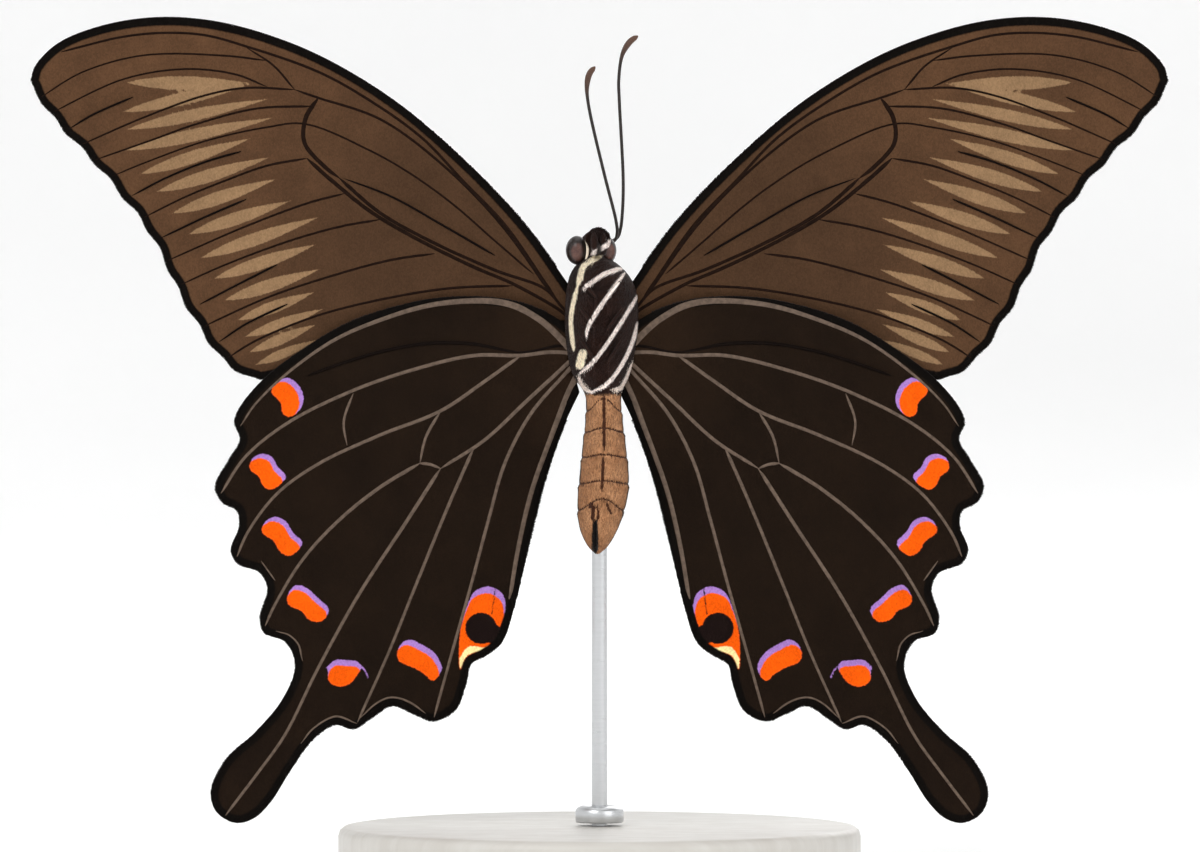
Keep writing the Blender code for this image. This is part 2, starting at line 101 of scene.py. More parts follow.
# ---------------------------------------------------------------- veins
# Each is its width, or its widths at both ends, and its points.
FORE_VEINS = [
    (0.32, [(4.2, 3.1), (5.2, 4.5), (9, 10), (13, 14.2), (17, 18.4), (22, 22), (27, 24.8), (34, 27.3),
            (38, 28.4), (42, 28.65), (46, 28.3), (50, 27.4), (52, 26.9)]),
    (0.32, [(4.0, 2.6), (5.2, 4.3), (9.5, 10.2), (15, 15.8), (21, 20.2), (27, 22.3), (29.3, 23.1)]),
    (0.24, [(29.3, 23.1), (31.3, 25.4), (34, 27.2)]),
    (0.22, [(32, 25.9), (36, 26.4), (44, 26.5), (50, 24.9), (53.6, 22.8)]),
    (0.22, [(32, 23.4), (35, 24.6), (40, 25.15), (46, 24.2), (52.4, 21.3)]),
    (0.24, [(29.3, 23.1), (34, 23.3), (38, 22.6), (44, 20.5), (49.9, 18)]),
    (0.24, [(27.5, 21.5), (33, 21.3), (39, 19.8), (43, 18.4), (48.3, 16.6)]),
    (0.22, [(6.3, 5.3), (10, 8.5), (14, 12), (18, 14.9), (22, 17.2), (28.3, 19.8), (32, 19.5),
            (38, 18.2), (44, 16.1), (46.5, 15.1)]),
    (0.24, [(28.1, 16.5), (32, 15.8), (36, 14.4), (40, 12.8), (43.5, 11.1)]),
    (0.24, [(24.5, 13.1), (28, 12.2), (34, 10), (38, 8.3), (41.2, 6.9)]),
    (0.24, [(21, 10.6), (25, 9.9), (30, 8.5), (36, 6.3), (40.1, 4.5)]),
    (0.26, [(15.8, 7.3), (20, 6.7), (26, 5.1), (32, 3.1), (37.8, 0.5)]),
    (0.28, [(8.3, 4.2), (14, 4), (20, 3.1), (27, 1.4), (33, -1), (35.5, -2.5)]),
    (0.5, [(27, 22.3), (28.2, 20.3), (28.3, 18), (26.5, 15.8), (25, 14.6)]),
    (0.38, [(25, 14.6), (21, 11.2), (16, 8.4), (10, 5.7), (5.2, 3.9), (3.6, 2.2)]),
    (0.42, [(28.1, 16.5), (25.5, 14.2), (22, 11.4), (18, 9), (12, 6), (8.3, 4.4), (4, 2), (3.0, 1.2)]),
]
FORE_FOLDS = [
    (0.18, [(45, 22.5), (49, 20.8), (51.2, 19.5)]),
    (0.18, [(34.5, 17.2), (38, 16.2), (42, 14.6), (45.1, 13)]),
    (0.18, [(34, 12.6), (38, 10.9), (42.3, 8.9)]),
    (0.18, [(31, 6.3), (35, 4.3), (38.5, 2.5)]),
    (0.18, [(30, 2.5), (34, 0.6), (36.6, -1.1)]),
    (0.18, [(10, 7.1), (15, 10), (20, 12.8), (24.7, 14.6)]),
]
HIND_VEINS = [
    ((0.75, 0.2), [(3.0, -1.6), (4, -0.5), (5.6, 0.9), (8, 2.2), (10.7, 2.7), (16, 2.35), (21.3, 0.8),
                   (25.6, -1.1), (30.1, -4.3), (33.1, -7.2), (34.2, -8.8)]),
    (0.38, [(2.6, -2.3), (3.6, -2.2), (5, -2.2), (7.5, -2.5), (12, -2.5), (18, -3.9), (24, -6), (30, -9),
            (34, -12.2), (36.1, -15.3)]),
    (0.36, [(7.5, -2.5), (11, -5), (15.2, -7.8), (21, -10.1), (27, -12.9), (31, -15.8), (33.8, -19.5),
            (34.7, -21.5)]),
    (0.28, [(23.6, -6.1), (24.5, -8.8), (24.2, -11.1)]),
    (0.32, [(15.2, -7.8), (16.6, -10.3), (17.2, -12.8)]),
    (0.32, [(17.2, -12.8), (16.2, -12.9), (15.2, -13.3)]),
    (0.36, [(17.2, -12.8), (21, -15.1), (25, -18.3), (28.5, -22.1), (31.2, -26.5), (32, -28.2)]),
    (0.4, [(2.4, -2.6), (3.4, -3.6), (7, -6.9), (11, -10.6), (15.2, -13.3)]),
    (0.36, [(15.2, -13.3), (19, -19.2), (23, -25.3), (27, -32.5), (30.2, -38.9), (33, -42.8),
            (35.6, -46.2)]),
    (0.34, [(12, -11.3), (14.5, -17), (17.5, -24.3), (20.3, -31.2), (23.1, -37.4)]),
    (0.36, [(2.2, -3.0), (3.3, -4.3), (6.5, -8), (9, -12.7), (10.6, -18.2), (12.3, -24.5), (14, -30.5),
            (15.7, -36.6)]),
    (0.55, [(2.0, -4.2), (2.7, -5.5), (4.5, -9.8), (6.5, -15.3), (7.8, -20.7), (8.6, -25.4)]),
    (0.22, [(16.9, -36.6), (18, -35.8), (19.3, -35.3), (20.3, -35.3), (21.5, -35.9), (22.7, -37)]),
    (0.22, [(23.5, -37.7), (25.3, -37.1), (27.5, -38.3), (28.5, -39.5)]),
    (0.2, [(28.6, -31.4), (28.9, -30.2), (29.8, -29.3), (30.8, -29)]),
    (0.18, [(31.4, -23.7), (32.2, -22.6)]),
]
HIND_FOLDS = [
    (0.3, [(2.8, -1.9), (3.6, -1.6), (7.5, -2.2), (12, -1.4), (16, -1.3), (20, -1.9), (24, -3), (28, -4.4)]),
]

# ---------------------------------------------------------------- markings
# Pale streaks of the forewing: inner tip, outer tip, width.
STREAKS = [((33.4, 23.7), (45.5, 23.9), 1.3), ((33.4, 23.7), (45.9, 21.1), 1.2),
           ((32.0, 22.2), (45.5, 19.4), 1.15), ((31.5, 20.4), (45.6, 17.4), 1.2),
           ((33.7, 18.4), (44.2, 15.1), 1.2), ((31.8, 16.6), (42.6, 13.4), 1.25),
           ((31.2, 14.5), (41.1, 11.3), 1.25), ((29.8, 12.4), (39.5, 9.3), 1.25),
           ((27.1, 10.8), (38.3, 7.0), 1.25), ((27.3, 8.2), (37.0, 5.0), 1.25),
           ((27.0, 5.8), (36.0, 2.9), 1.25), ((27.5, 3.6), (34.7, 1.0), 1.15),
           ((26.6, 2.0), (34.0, -0.6), 1.05), ((27.3, 0.5), (33.6, -2.1), 1.0),
           ((27.3, -1.0), (33.0, -3.3), 0.9)]
# Spots of the hindwing: the shift that bares their violet rim, and the outline.
LUNULES = [
    ((0.38, -0.34), [(28.4, -6.6), (28.9, -5.3), (30.0, -4.6), (31.05, -5.1), (31.45, -5.9),
                     (30.55, -7.0), (30.35, -8.0), (29.75, -8.3), (28.75, -7.65)]),
    ((0.3, -0.42), [(30.1, -14.05), (30.95, -13.1), (31.4, -12.25), (32.4, -11.9), (33.35, -12.4),
                    (33.5, -13.4), (32.7, -14.05), (32.25, -14.95), (31.7, -15.3), (30.6, -14.75)]),
    ((0.25, -0.42), [(28.5, -20.4), (29.45, -19.45), (30.1, -18.4), (31.2, -17.95), (32.15, -18.5),
                     (32.35, -19.4), (31.2, -20.3), (30.7, -21.2), (29.8, -21.65), (28.8, -20.95)]),
    ((0.2, -0.45), [(26.0, -26.7), (27.1, -25.7), (28.0, -24.85), (29.1, -24.5), (29.85, -25.3),
                    (29.85, -26.3), (28.6, -26.95), (27.9, -27.75), (26.8, -27.95), (26.05, -27.2)]),
    ((0.0, -0.55), [(22.85, -32.35), (23.2, -31.85), (24.3, -31.7), (25.35, -31.7), (25.95, -32.25),
                    (25.9, -33.7), (25.0, -34.2), (23.9, -33.85), (23.2, -32.95)]),
    ((0.26, -0.5), [(15.1, -32.4), (15.75, -31.05), (17.1, -30.15), (18.3, -29.7), (19.2, -30.4),
                    (19.2, -31.7), (17.8, -32.35), (16.7, -33.0), (16.0, -33.6), (15.3, -32.95)]),
    ((0.16, -0.62), [(8.98, -26.6), (9.35, -25.25), (10.6, -24.6), (11.95, -25.1), (12.65, -26.4),
                     (13.2, -28.4), (13.4, -30.6), (13.3, -32.5), (12.75, -31.3), (11.9, -30.9),
                     (10.9, -30.7), (10.5, -30.3), (9.9, -29.4), (9.55, -28.4)]),
]
VIOLET_LINES = [(0.14, [(22.2, -33.4), (22.45, -32.75), (22.95, -32.2)]),
                (0.16, [(25.4, -31.85), (26.2, -32.45)])]
PUPILS = [((11.35, -28.6), 1.5), ((10.2, -29.15), 0.95)]
SPOT_LINE = (0.13, [(9.97, -24.5), (10.1, -25.8), (10.3, -27.2)])
CREAM = [(10.3, -30.25), (11.06, -30.46), (12.0, -30.32), (12.6, -30.4), (12.95, -30.75),
         (13.28, -31.3), (13.9, -32.9), (12.0, -32.5), (9.8, -31.0)]

INNER_REACH = 31.0
GLEAM_AT = (21, -6.5)
GLEAM_REACH = 6.5
GLEAM_SQUASH = (0.6, 1.1)


def tone(*levels):
    """A paint colour from display levels of 0 to 255, made linear by the display standard's own curve."""
    shares = [level / 255 for level in levels]
    return (*[v / 12.92 if v <= 0.04045 else ((v + 0.055) / 1.055) ** 2.4 for v in shares], 1.0)


# ---------------------------------------------------------------- curves
def smooth_curve(points, per_span):
    """A centripetal Catmull-Rom curve through the points, per_span steps to a span."""
    p = np.asarray(points, float)
    p = np.vstack([2 * p[0] - p[1], p, 2 * p[-1] - p[-2]])
    steps = np.arange(per_span)[:, None] / per_span
    made = []
    for a, b, c, d in zip(p, p[1:], p[2:], p[3:]):
        k1, k2, k3 = np.cumsum([math.sqrt(np.linalg.norm(q)) for q in (b - a, c - b, d - c)])
        u = k1 + (k2 - k1) * steps
        ab = a + (b - a) * u / k1
        bc = b + (c - b) * (u - k1) / (k2 - k1)
        cd = c + (d - c) * (u - k2) / (k3 - k2)
        abc, bcd = ab + (bc - ab) * u / k2, bc + (cd - bc) * (u - k1) / (k3 - k1)
        made.append(abc + (bcd - abc) * (u - k1) / (k2 - k1))
    return np.vstack(made + [p[-2:-1]])


def bell(value, width):
    """One at nothing, falling away to either side as e to the minus square of value over width."""
    return np.exp(-((value / width) ** 2))


def step_lengths(path):
    """The lengths of a path's steps; their sum is the path's own length."""
    return np.linalg.norm(np.diff(path, axis=0), axis=1)


def along(path):
    """How far along a path each of its points is, as a share of its length."""
    steps = step_lengths(path)
    return np.concatenate([[0], np.cumsum(steps)]) / steps.sum()


def at_share(path, share):
    """Points of a path at these shares of its length."""
    own = along(path)
    return np.stack([np.interp(share, own, path[:, k]) for k in range(path.shape[1])], -1)


def closed_curve(points, per_span=6):
    """A smooth closed outline through the points."""
    ring = points[-2:] + points + points[:3]
    return smooth_curve(ring, per_span)[2 * per_span : -2 * per_span]


def unit(vectors):
    """These vectors, each divided by its length."""
    return vectors / np.linalg.norm(vectors, axis=1)[:, None]


def beside(path):
    """Unit vectors square to a flat path, on its left."""
    run = np.gradient(path, axis=0)
    return unit(np.stack([-run[:, 1], run[:, 0]], -1))


def distance_to(paths, x, z):
    """The distance from each point to the nearest of these paths: to its own foot on each segment, held
    between the segment's ends. A few thousand points are done at a time."""
    starts = np.concatenate([p[:-1] for p in paths])
    run = np.concatenate([p[1:] for p in paths]) - starts
    size = np.maximum((run**2).sum(1), 1e-12)
    where = np.stack([x.ravel(), z.ravel()], -1)
    made = []
    for some in np.array_split(where, max(1, len(where) * len(starts) // MOST_AT_ONCE)):
        off = some[:, None] - starts
        share = np.clip((off * run).sum(-1) / size, 0, 1)
        made.append(np.sqrt(((off - share[..., None] * run) ** 2).sum(-1)).min(1))
    return np.concatenate(made).reshape(x.shape)


def inside(outline, x, z):
    """Whether each point is inside a closed outline: its level line crosses it an odd number of times."""
    (x1, z1), (x2, z2) = outline.T, np.roll(outline, -1, 0).T
    level = (z[..., None] >= z1) != (z[..., None] >= z2)
    rise = np.where(z2 == z1, 1, z2 - z1)
    cross = x1 + (z[..., None] - z1) * (x2 - x1) / rise
    return (level & (x[..., None] < cross)).sum(-1) % 2 == 1


def depth_inside(outline, x, z):
    """The distance to the outline, positive inside it and negative outside. Far points keep a flat value."""
    made = np.full(x.shape, -FAR)
    low, high = outline.min(0) - NEAR, outline.max(0) + NEAR
    near = (x > low[0]) & (x < high[0]) & (z > low[1]) & (z < high[1])
    ring = np.vstack([outline, outline[:1]])
    away = distance_to([ring], x[near], z[near])
    made[near] = np.where(inside(outline, x[near], z[near]), away, -away)
    return made


# ---------------------------------------------------------------- wing shapes
def forewing_depth(x, z):
    """How far back the forewing lies: a straight rise and a square of the distance out from the root,
    less a square of the height from the camber's middle."""
    out = x - WING_ROOT[0]
    rise = WING_ROOT[1] + DIHEDRAL * out + UPSWEEP * out * abs(out)
    return rise - CAMBER * (z - CAMBER_MIDDLE) ** 2


def hindwing_depth(x, z):
    """A step in front of the forewing's slope, less a capped camber that bows with the square of height,
    plus the same kind of sweep over the tail, and a fold that dies away from the inner margin."""
    camber = CAMBER * np.maximum(z - CAMBER_MIDDLE, -CAMBER_END) ** 2
    sweep = TAIL_SWEEP * np.minimum(z - SWEEP_START, 0) ** 2
    margin = FOLD_START[0] + FOLD_SLOPE * np.maximum(FOLD_START[1] - z, 0)
    fold = FOLD_DEPTH * np.exp(-np.maximum(x - margin, 0) / FOLD_WIDTH)
    fold = fold * np.clip((FOLD_START[1] - z) / FOLD_RISE, 0, 1)
    return forewing_depth(x, CAMBER_MIDDLE) - HINDWING_STEP - camber + sweep + fold


def waved_termen():
    """The forewing's outer margin with shallow waves: a cosine of the share of its length, which fades
    out at both ends."""
    edge = smooth_curve([COSTA[-1]] + TERMEN, 8)
    share = along(edge)
    ends = np.clip(np.minimum(share, 1 - share) / TERMEN_WAVE_FADE, 0, 1)
    wave = TERMEN_WAVE_DEPTH * ends * np.cos(2 * np.pi * TERMEN_WAVES * share)
    return edge - wave[:, None] * beside(edge)


def forewing_edges():
    """The leading edge, and the hind and outer margins, both from the root to the wing's tip."""
    hind = smooth_curve([TERMEN[-1]] + HIND_MARGIN, 6)
    lower = np.vstack([hind[::-1][:-1], waved_termen()[::-1]])
    return smooth_curve(COSTA, 8), lower


def hindwing_edges():
    """The outer and the inner edge, both from the root to the tip of the tail."""
    outer = HIND_COSTA + OUTER_TEETH + TAIL_OUTER
    whole = smooth_curve(outer + [TAIL_TIP] + TAIL_INNER + LOWER_TEETH + INNER_MARGIN, 8)
    tip = 8 * len(outer)
    return whole[: tip + 1], whole[: tip - 1 : -1]


def softened(path, spread):
    """A path with its teeth smoothed away by a bell-shaped average over spread rows."""
    reach = 3 * spread
    weights = np.exp(-0.5 * (np.arange(-reach, reach + 1) / spread) ** 2)
    ends = [2 * path[:1] - path[reach:0:-1], path, 2 * path[-1:] - path[-2 : -reach - 2 : -1]]
    wide = np.concatenate(ends)
    return np.stack([np.convolve(wide[:, k], weights / weights.sum(), "valid") for k in (0, 1)], -1)


def eased(share):
    """From 0 to 1 and level at both ends: share squared times (3 - 2 share)."""
    return share**2 * (3 - 2 * share)


def wing_grid(edges, pairs, rows, across, spread, reach, bow):
    """Points on rows from the upper edge to the lower, crowded towards both edges by a sine.

    A row is a cubic between the two smoothed edges that leaves them squarely, by bow of its width.
    Near each end it is moved by what the smoothing took off there, fading over reach.
    """
    shares = [along(e)[[np.argmin(((e - p[k]) ** 2).sum(1)) for p in pairs]] for k, e in enumerate(edges)]
    steps = np.maximum(*[np.diff(own) * step_lengths(e).sum() for own, e in zip(shares, edges)])
    stops = np.concatenate([[0], np.cumsum(steps)]) / steps.sum()
    t = np.linspace(0, 1, rows)
    upper, lower = [at_share(e, np.interp(t, stops, own)) for e, own in zip(edges, shares)]
    calm_upper, calm_lower = softened(upper, spread), softened(lower, spread)
    calm_upper[-1], calm_lower[-1] = upper[-1], lower[-1]
    u = np.linspace(0, 1, across)
    s = (u - ROW_CROWDING * np.sin(2 * np.pi * u) / (2 * np.pi))[:, None]
    width = bow * np.linalg.norm(calm_lower - calm_upper, axis=1)[:, None]
    leave, arrive = [softened(-beside(e) * width, 3 * spread)[:, None] for e in (calm_upper, calm_lower)]
    made = eased(1 - s) * calm_upper[:, None] + eased(s) * calm_lower[:, None]
    made = made + s * (1 - s) ** 2 * leave - s**2 * (1 - s) * arrive
    near, far = eased(np.clip(1 - s / reach, 0, 1)), eased(np.clip(1 - (1 - s) / reach, 0, 1))
    made = made + near * (upper - calm_upper)[:, None] + far * (lower - calm_lower)[:, None]
    return made[..., 0], made[..., 1]


# ---------------------------------------------------------------- mesh helpers
def placed(points):
    """Millimetres from the thorax's middle as metres above the floor."""
    return (np.asarray(points, float) + (0, 0, BODY_HEIGHT)) * MM


def volume_of(points, faces):
    """Six times the signed volume, by tetrahedra from the origin: positive if the faces point out."""
    total = 0.0
    for f in faces:
        a = points[f[:, 0]]
        for k in range(1, f.shape[1] - 1):
            total += (a * np.cross(points[f[:, k]], points[f[:, k + 1]])).sum()
    return total


def make_piece(name, points, faces, finishes, slots=None, fields=None, patches=None):
    """One closed mesh from points, arrays of faces, and named values held at its points."""
    points = np.asarray(points, float)
    if volume_of(points - points.mean(0), faces) < 0:
        faces = [f[:, ::-1] for f in faces]
    mesh = bpy.data.meshes.new(name)
    corners = np.concatenate([f.ravel() for f in faces]).astype(np.int32)
    sizes = np.concatenate([np.full(len(f), f.shape[1]) for f in faces])
    mesh.vertices.add(len(points))
    mesh.vertices.foreach_set("co", placed(points).ravel())
    mesh.loops.add(len(corners))
    mesh.loops.foreach_set("vertex_index", corners)
    mesh.polygons.add(len(sizes))
    mesh.polygons.foreach_set("loop_start", (np.cumsum(sizes) - sizes).astype(np.int32))
    for finish in finishes:
        mesh.materials.append(finish)
    if slots is not None:
        mesh.polygons.foreach_set("material_index", slots.astype(np.int32))
    for key, values in (fields or {}).items():
        mesh.attributes.new(key, "FLOAT", "POINT").data.foreach_set("value", values.astype(np.float32))
    mesh.update(calc_edges=True)
    if patches is not None:
        layer = mesh.uv_layers.new(name="OFBake")
        layer.data.foreach_set("uv", patches[corners].ravel())
    mesh.shade_smooth()
    made = bpy.data.objects.new(name, mesh)
    bpy.context.scene.collection.objects.link(made)
    return made


def loft_faces(rows, sides):
    """Quads between neighbouring rings, and a fan from each end ring to a point in its middle."""
    i, j = np.meshgrid(np.arange(rows - 1), np.arange(sides), indexing="ij")
    a, b = (i * sides + j).ravel(), (i * sides + (j + 1) % sides).ravel()
    k = np.arange(sides)
    last = (rows - 1) * sides
    start = np.stack([(k + 1) % sides, k, np.full(sides, rows * sides)], -1)
    end = np.stack([last + k, last + (k + 1) % sides, np.full(sides, rows * sides + 1)], -1)
    return [np.stack([a, b, b + sides, a + sides], -1), start, end]


def loft_points(rings):
    """The points of a loft: its rings, then the middles of its two end rings."""
    ends = rings[[0, -1]].mean(1)
    return np.vstack([rings.reshape(-1, rings.shape[-1]), ends])


def tube_rings(path, wide, deep, sides, up):
    """Ovals carried along a path: wide across it and deep along the direction nearest to up."""
    run = unit(np.gradient(path, axis=0))
    side = unit(np.cross(run, up))
    lift = np.cross(side, run)
    turn = np.linspace(0, 2 * np.pi, sides, endpoint=False)[None, :, None]
    wide, deep = [np.broadcast_to(v, len(path))[:, None, None] for v in (wide, deep)]
    return path[:, None] + np.cos(turn) * wide * side[:, None] + np.sin(turn) * deep * lift[:, None]


def joined(parts):
    """Points and faces of several lofts as one."""
    points, faces, count = [], [], 0
    for p, f in parts:
        points.append(p)
        faces += [k + count for k in f]
        count += len(p)
    return np.vstack(points), faces


def loft_piece(name, rings, finish, fields=None):
    """A closed piece through rings of points, all of one finish."""
    return make_piece(name, loft_points(rings), loft_faces(*rings.shape[:2]), [finish], None, fields)


def wear(piece, slot, *nodes):
    """Fixes a piece to the model and lets it stand for these nodes. Its slot is not used."""
    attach(piece, "root")
    if nodes:
        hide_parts(*nodes)
    return piece


# ---------------------------------------------------------------- finishes
class Finish:
    """A Principled material and short calls for the nodes that vary it."""

    def __init__(self, name, **values):
        self.material = bpy.data.materials.new(name)
        self.material.use_nodes = True
        self.tree = self.material.node_tree
        self.shader = self.tree.nodes["Principled BSDF"]
        self.set(**values)

    def feed(self, socket, value):
        """Links another node's output to a socket, or gives the socket a constant."""
        if isinstance(value, bpy.types.NodeSocket):
            self.tree.links.new(value, socket)
        else:
            socket.default_value = value

    def set(self, **values):
        """Feeds the shader's own sockets; a name's _ stands for a space."""
        for key, value in values.items():
            self.feed(self.shader.inputs[key.replace("_", " ")], value)

    def node(self, kind, inputs, output=0, **settings):
        """Adds a node with its settings and inputs, and returns one of its outputs."""
        made = self.tree.nodes.new("ShaderNode" + kind)
        for key, value in settings.items():
            setattr(made, key, value)
        for socket, value in inputs.items():
            self.feed(made.inputs[socket], value)
        return made.outputs[output]

    def field(self, name):
        """A named value held at the mesh's points."""
        return self.node("Attribute", {}, "Fac", attribute_name=name)

    def place(self, stretch=None):
        """The place in the object in metres, times a factor for each axis."""
        where = self.node("TexCoord", {}, "Object")
        if stretch is None:
            return where
        return self.node("VectorMath", {0: where, 1: stretch}, operation="MULTIPLY")

    def noise(self, scale, detail=3.0, rough=0.55, stretch=None):
        """Cloudy noise of 0 to 1, scale clouds to a metre."""
        inputs = {"Vector": self.place(stretch), "Scale": scale, "Detail": detail, "Roughness": rough}
        return self.node("TexNoise", inputs)

    def fray(self, size, *noise):
        """Noise about nothing, size from end to end."""
        return self.math("MULTIPLY", self.math("SUBTRACT", self.noise(*noise), 0.5), size)

    def cells(self, scale, stretch=None, output="Distance"):
        """Cells round scattered points, scale of them to a metre."""
        return self.node("TexVoronoi", {"Vector": self.place(stretch), "Scale": scale}, output)

    def step(self, value, low, high, to_low=0.0, to_high=1.0):
        """An S-shaped change from to_low to to_high as a value goes from low to high."""
        inputs = {"Value": value, 1: low, 2: high, 3: to_low, 4: to_high}
        return self.node("MapRange", inputs, interpolation_type="SMOOTHSTEP")

    def math(self, operation, a, b=0.0):
        """One sum on two numbers."""
        return self.node("Math", {0: a, 1: b}, operation=operation)

    def mix(self, share, a, b, blend="MIX"):
        """Colour a with a share of colour b."""
        return self.node("Mix", {0: share, 6: a, 7: b}, 2, data_type="RGBA", blend_type=blend)

    def painted(self, colour, depth, soft, paint):
        """A colour with paint where a depth is above nothing, its edge soft to either side."""
        return self.mix(self.step(depth, -soft, soft), colour, paint)

    def cover(self, colour, shade):
        """Gives the shader a colour times a grey shade."""
        tint = self.node("CombineColor", {0: shade, 1: shade, 2: shade})
        self.set(Base_Color=self.mix(1.0, colour, tint, "MULTIPLY"))

    def bump(self, height, distance, strength=1.0):
        """Bends the shading as a relief of this height would."""
        self.set(Normal=self.node("Bump", {"Height": height, "Distance": distance, "Strength": strength}))


SCALE_SHAPE = (1.0, 0.2, 0.7)


def scale_cover(f, colour):
    """Rows of tiny scales over a colour: each scale a little lighter or darker, and a shingled bump."""
    grain = f.node("SeparateColor", {0: f.cells(9000.0, SCALE_SHAPE, "Color")}, 0)
    shade = f.math("ADD", f.math("MULTIPLY", grain, 0.25), f.math("MULTIPLY", f.noise(350.0, 4.0), 0.5))
    f.cover(colour, f.step(shade, 0.0, 0.75, 0.72, 1.28))
    f.bump(f.math("ADD", f.cells(7000.0, (1.0, 0.2, 0.55)), f.noise(600.0, 2.0)), 0.00003, 0.6)


def wing_finish(name, ground, root, marks, veins=None, dust=None, sheen=0.02):
    """A wing face: two ground colours in clouds that change to a third towards the root, darker veins,
    marks where their depth fields are above nothing, a dust of bright scales and a dark border.

    A mark is its field, its edge's softness, its paint and, where its edge frays more, how much."""
    f = Finish(name, Roughness=0.75, Specular_IOR_Level=0.05, Sheen_Weight=sheen, Sheen_Roughness=0.4)
    colour = f.mix(f.step(f.noise(160.0, 5.0), 0.3, 0.7), *ground)
    colour = f.mix(f.step(f.field("out"), 2.0, 15.0, 0.85, 0.0), colour, root)
    if veins is not None:
        colour = f.mix(f.step(f.field("vein"), 0.15, 1.1, 0.8, 0.0), colour, veins)
    ragged = f.fray(0.22, 4500.0, 2.0, 0.7)
    for field, soft, paint, *fray in marks:
        if field == "streak":
            own = f.math("SUBTRACT", f.field("streak_half"), f.math("ABSOLUTE", f.field("streak_across")))
        else:
            own = f.field(field)
        depth = f.math("ADD", own, f.math("MULTIPLY", ragged, fray[0] if fray else 1.0))
        colour = f.painted(colour, depth, soft, paint)
    if dust is not None:
        speck = f.node("SeparateColor", {0: f.cells(6500.0, SCALE_SHAPE, "Color")}, 1)
        colour = f.mix(f.step(speck, 0.7, 0.76, 0.0, 0.55), colour, dust)
    border = f.math("ADD", f.field("rim"), f.math("MULTIPLY", ragged, 0.5))
    scale_cover(f, f.mix(f.step(border, 0.62, 0.82, 1.0, 0.0), colour, BLACK))
    return f.material


def tuft_finish(name, base):
    """Hair and scales: one colour, or one worked out from fields, each strand lighter or darker."""
    f = Finish(name, Roughness=0.65, Specular_IOR_Level=0.1, Sheen_Weight=0.06, Sheen_Roughness=0.35)
    f.cover(base(f) if callable(base) else base, f.step(f.field("shade"), 0.0, 1.0, 0.7, 1.3))
    f.bump(f.noise(5000.0, 2.0, 0.6, (1.0, 1.0, 0.3)), 0.00001, 0.5)
    return f.material


def vein_finish(name, under, upper):
    """A vein's ridge: one colour on the underside and another above, with fine grain."""
    f = Finish(name, Roughness=0.7, Specular_IOR_Level=0.05)
    colour = f.mix(f.step(f.field("side"), -0.2, 0.2), upper, under)
    f.cover(colour, f.step(f.noise(2200.0, 3.0), 0.25, 0.75, 0.75, 1.25))
    f.bump(f.noise(5200.0, 2.0), 0.00002, 0.5)
    return f.material


BLACK = tone(9, 6, 4)
FORE_UNDER = wing_finish(
    "forewing underside", (tone(88, 62, 42), tone(80, 56, 38)), tone(60, 42, 28),
    [("inner", 9.0, tone(71, 50, 34)), ("streak", 0.06, tone(139, 110, 80))])
FORE_UPPER = wing_finish(
    "forewing upperside", (tone(22, 25, 17), tone(30, 36, 22)), tone(18, 26, 16),
    [("band", 2.2, tone(72, 76, 58), 3.0)], tone(9, 9, 8), tone(96, 108, 52), 0.1)
HIND_UNDER = wing_finish(
    "hindwing underside", (tone(29, 19, 11), tone(25, 16, 9)), tone(40, 27, 17),
    [("violet", 0.05, tone(164, 122, 194)), ("orange", 0.06, tone(243, 90, 5)),
     ("cream", 0.06, tone(248, 228, 160)), ("pupil", 0.06, tone(24, 14, 12))])
HIND_UPPER = wing_finish(
    "hindwing upperside", (tone(16, 24, 22), tone(20, 34, 30)), tone(18, 26, 16),
    [("patch", 2.2, tone(26, 96, 116), 14.0), ("violet", 0.05, tone(150, 70, 130)),
     ("orange", 0.3, tone(176, 52, 60)), ("pupil", 0.06, tone(14, 10, 12))],
    tone(9, 9, 8), tone(70, 116, 84), 0.1)
DARK_VEIN = vein_finish("forewing vein", tone(27, 15, 8), tone(8, 8, 7))
PALE_VEIN = vein_finish("hindwing vein", tone(100, 85, 74), tone(10, 11, 10))
FOLD_LINE = vein_finish("wing fold", tone(16, 9, 6), tone(12, 12, 10))


# ---------------------------------------------------------------- wings
def pleated(depth, away, rim, x, z):
    """The skin's middle surface: the wing's depth, and a pleat that sinks with distance from the veins.

    The pleat is one less a bell of that distance, times PLEAT, and fades to nothing at the rim.
    """
    return depth(x, z) + PLEAT * (1 - bell(away, PLEAT_WIDTH)) * np.clip(rim / PLEAT_FADE, 0, 1)


def tapered_half(rim):
    """Half the wing's thickness: a quarter of an oval from thin at the rim to full at EDGE_TAPER."""
    full = WING_HALF_THICK - EDGE_HALF_THICK
    return EDGE_HALF_THICK + full * np.sqrt(1 - (1 - np.clip(rim / EDGE_TAPER, 0, 1)) ** 2)


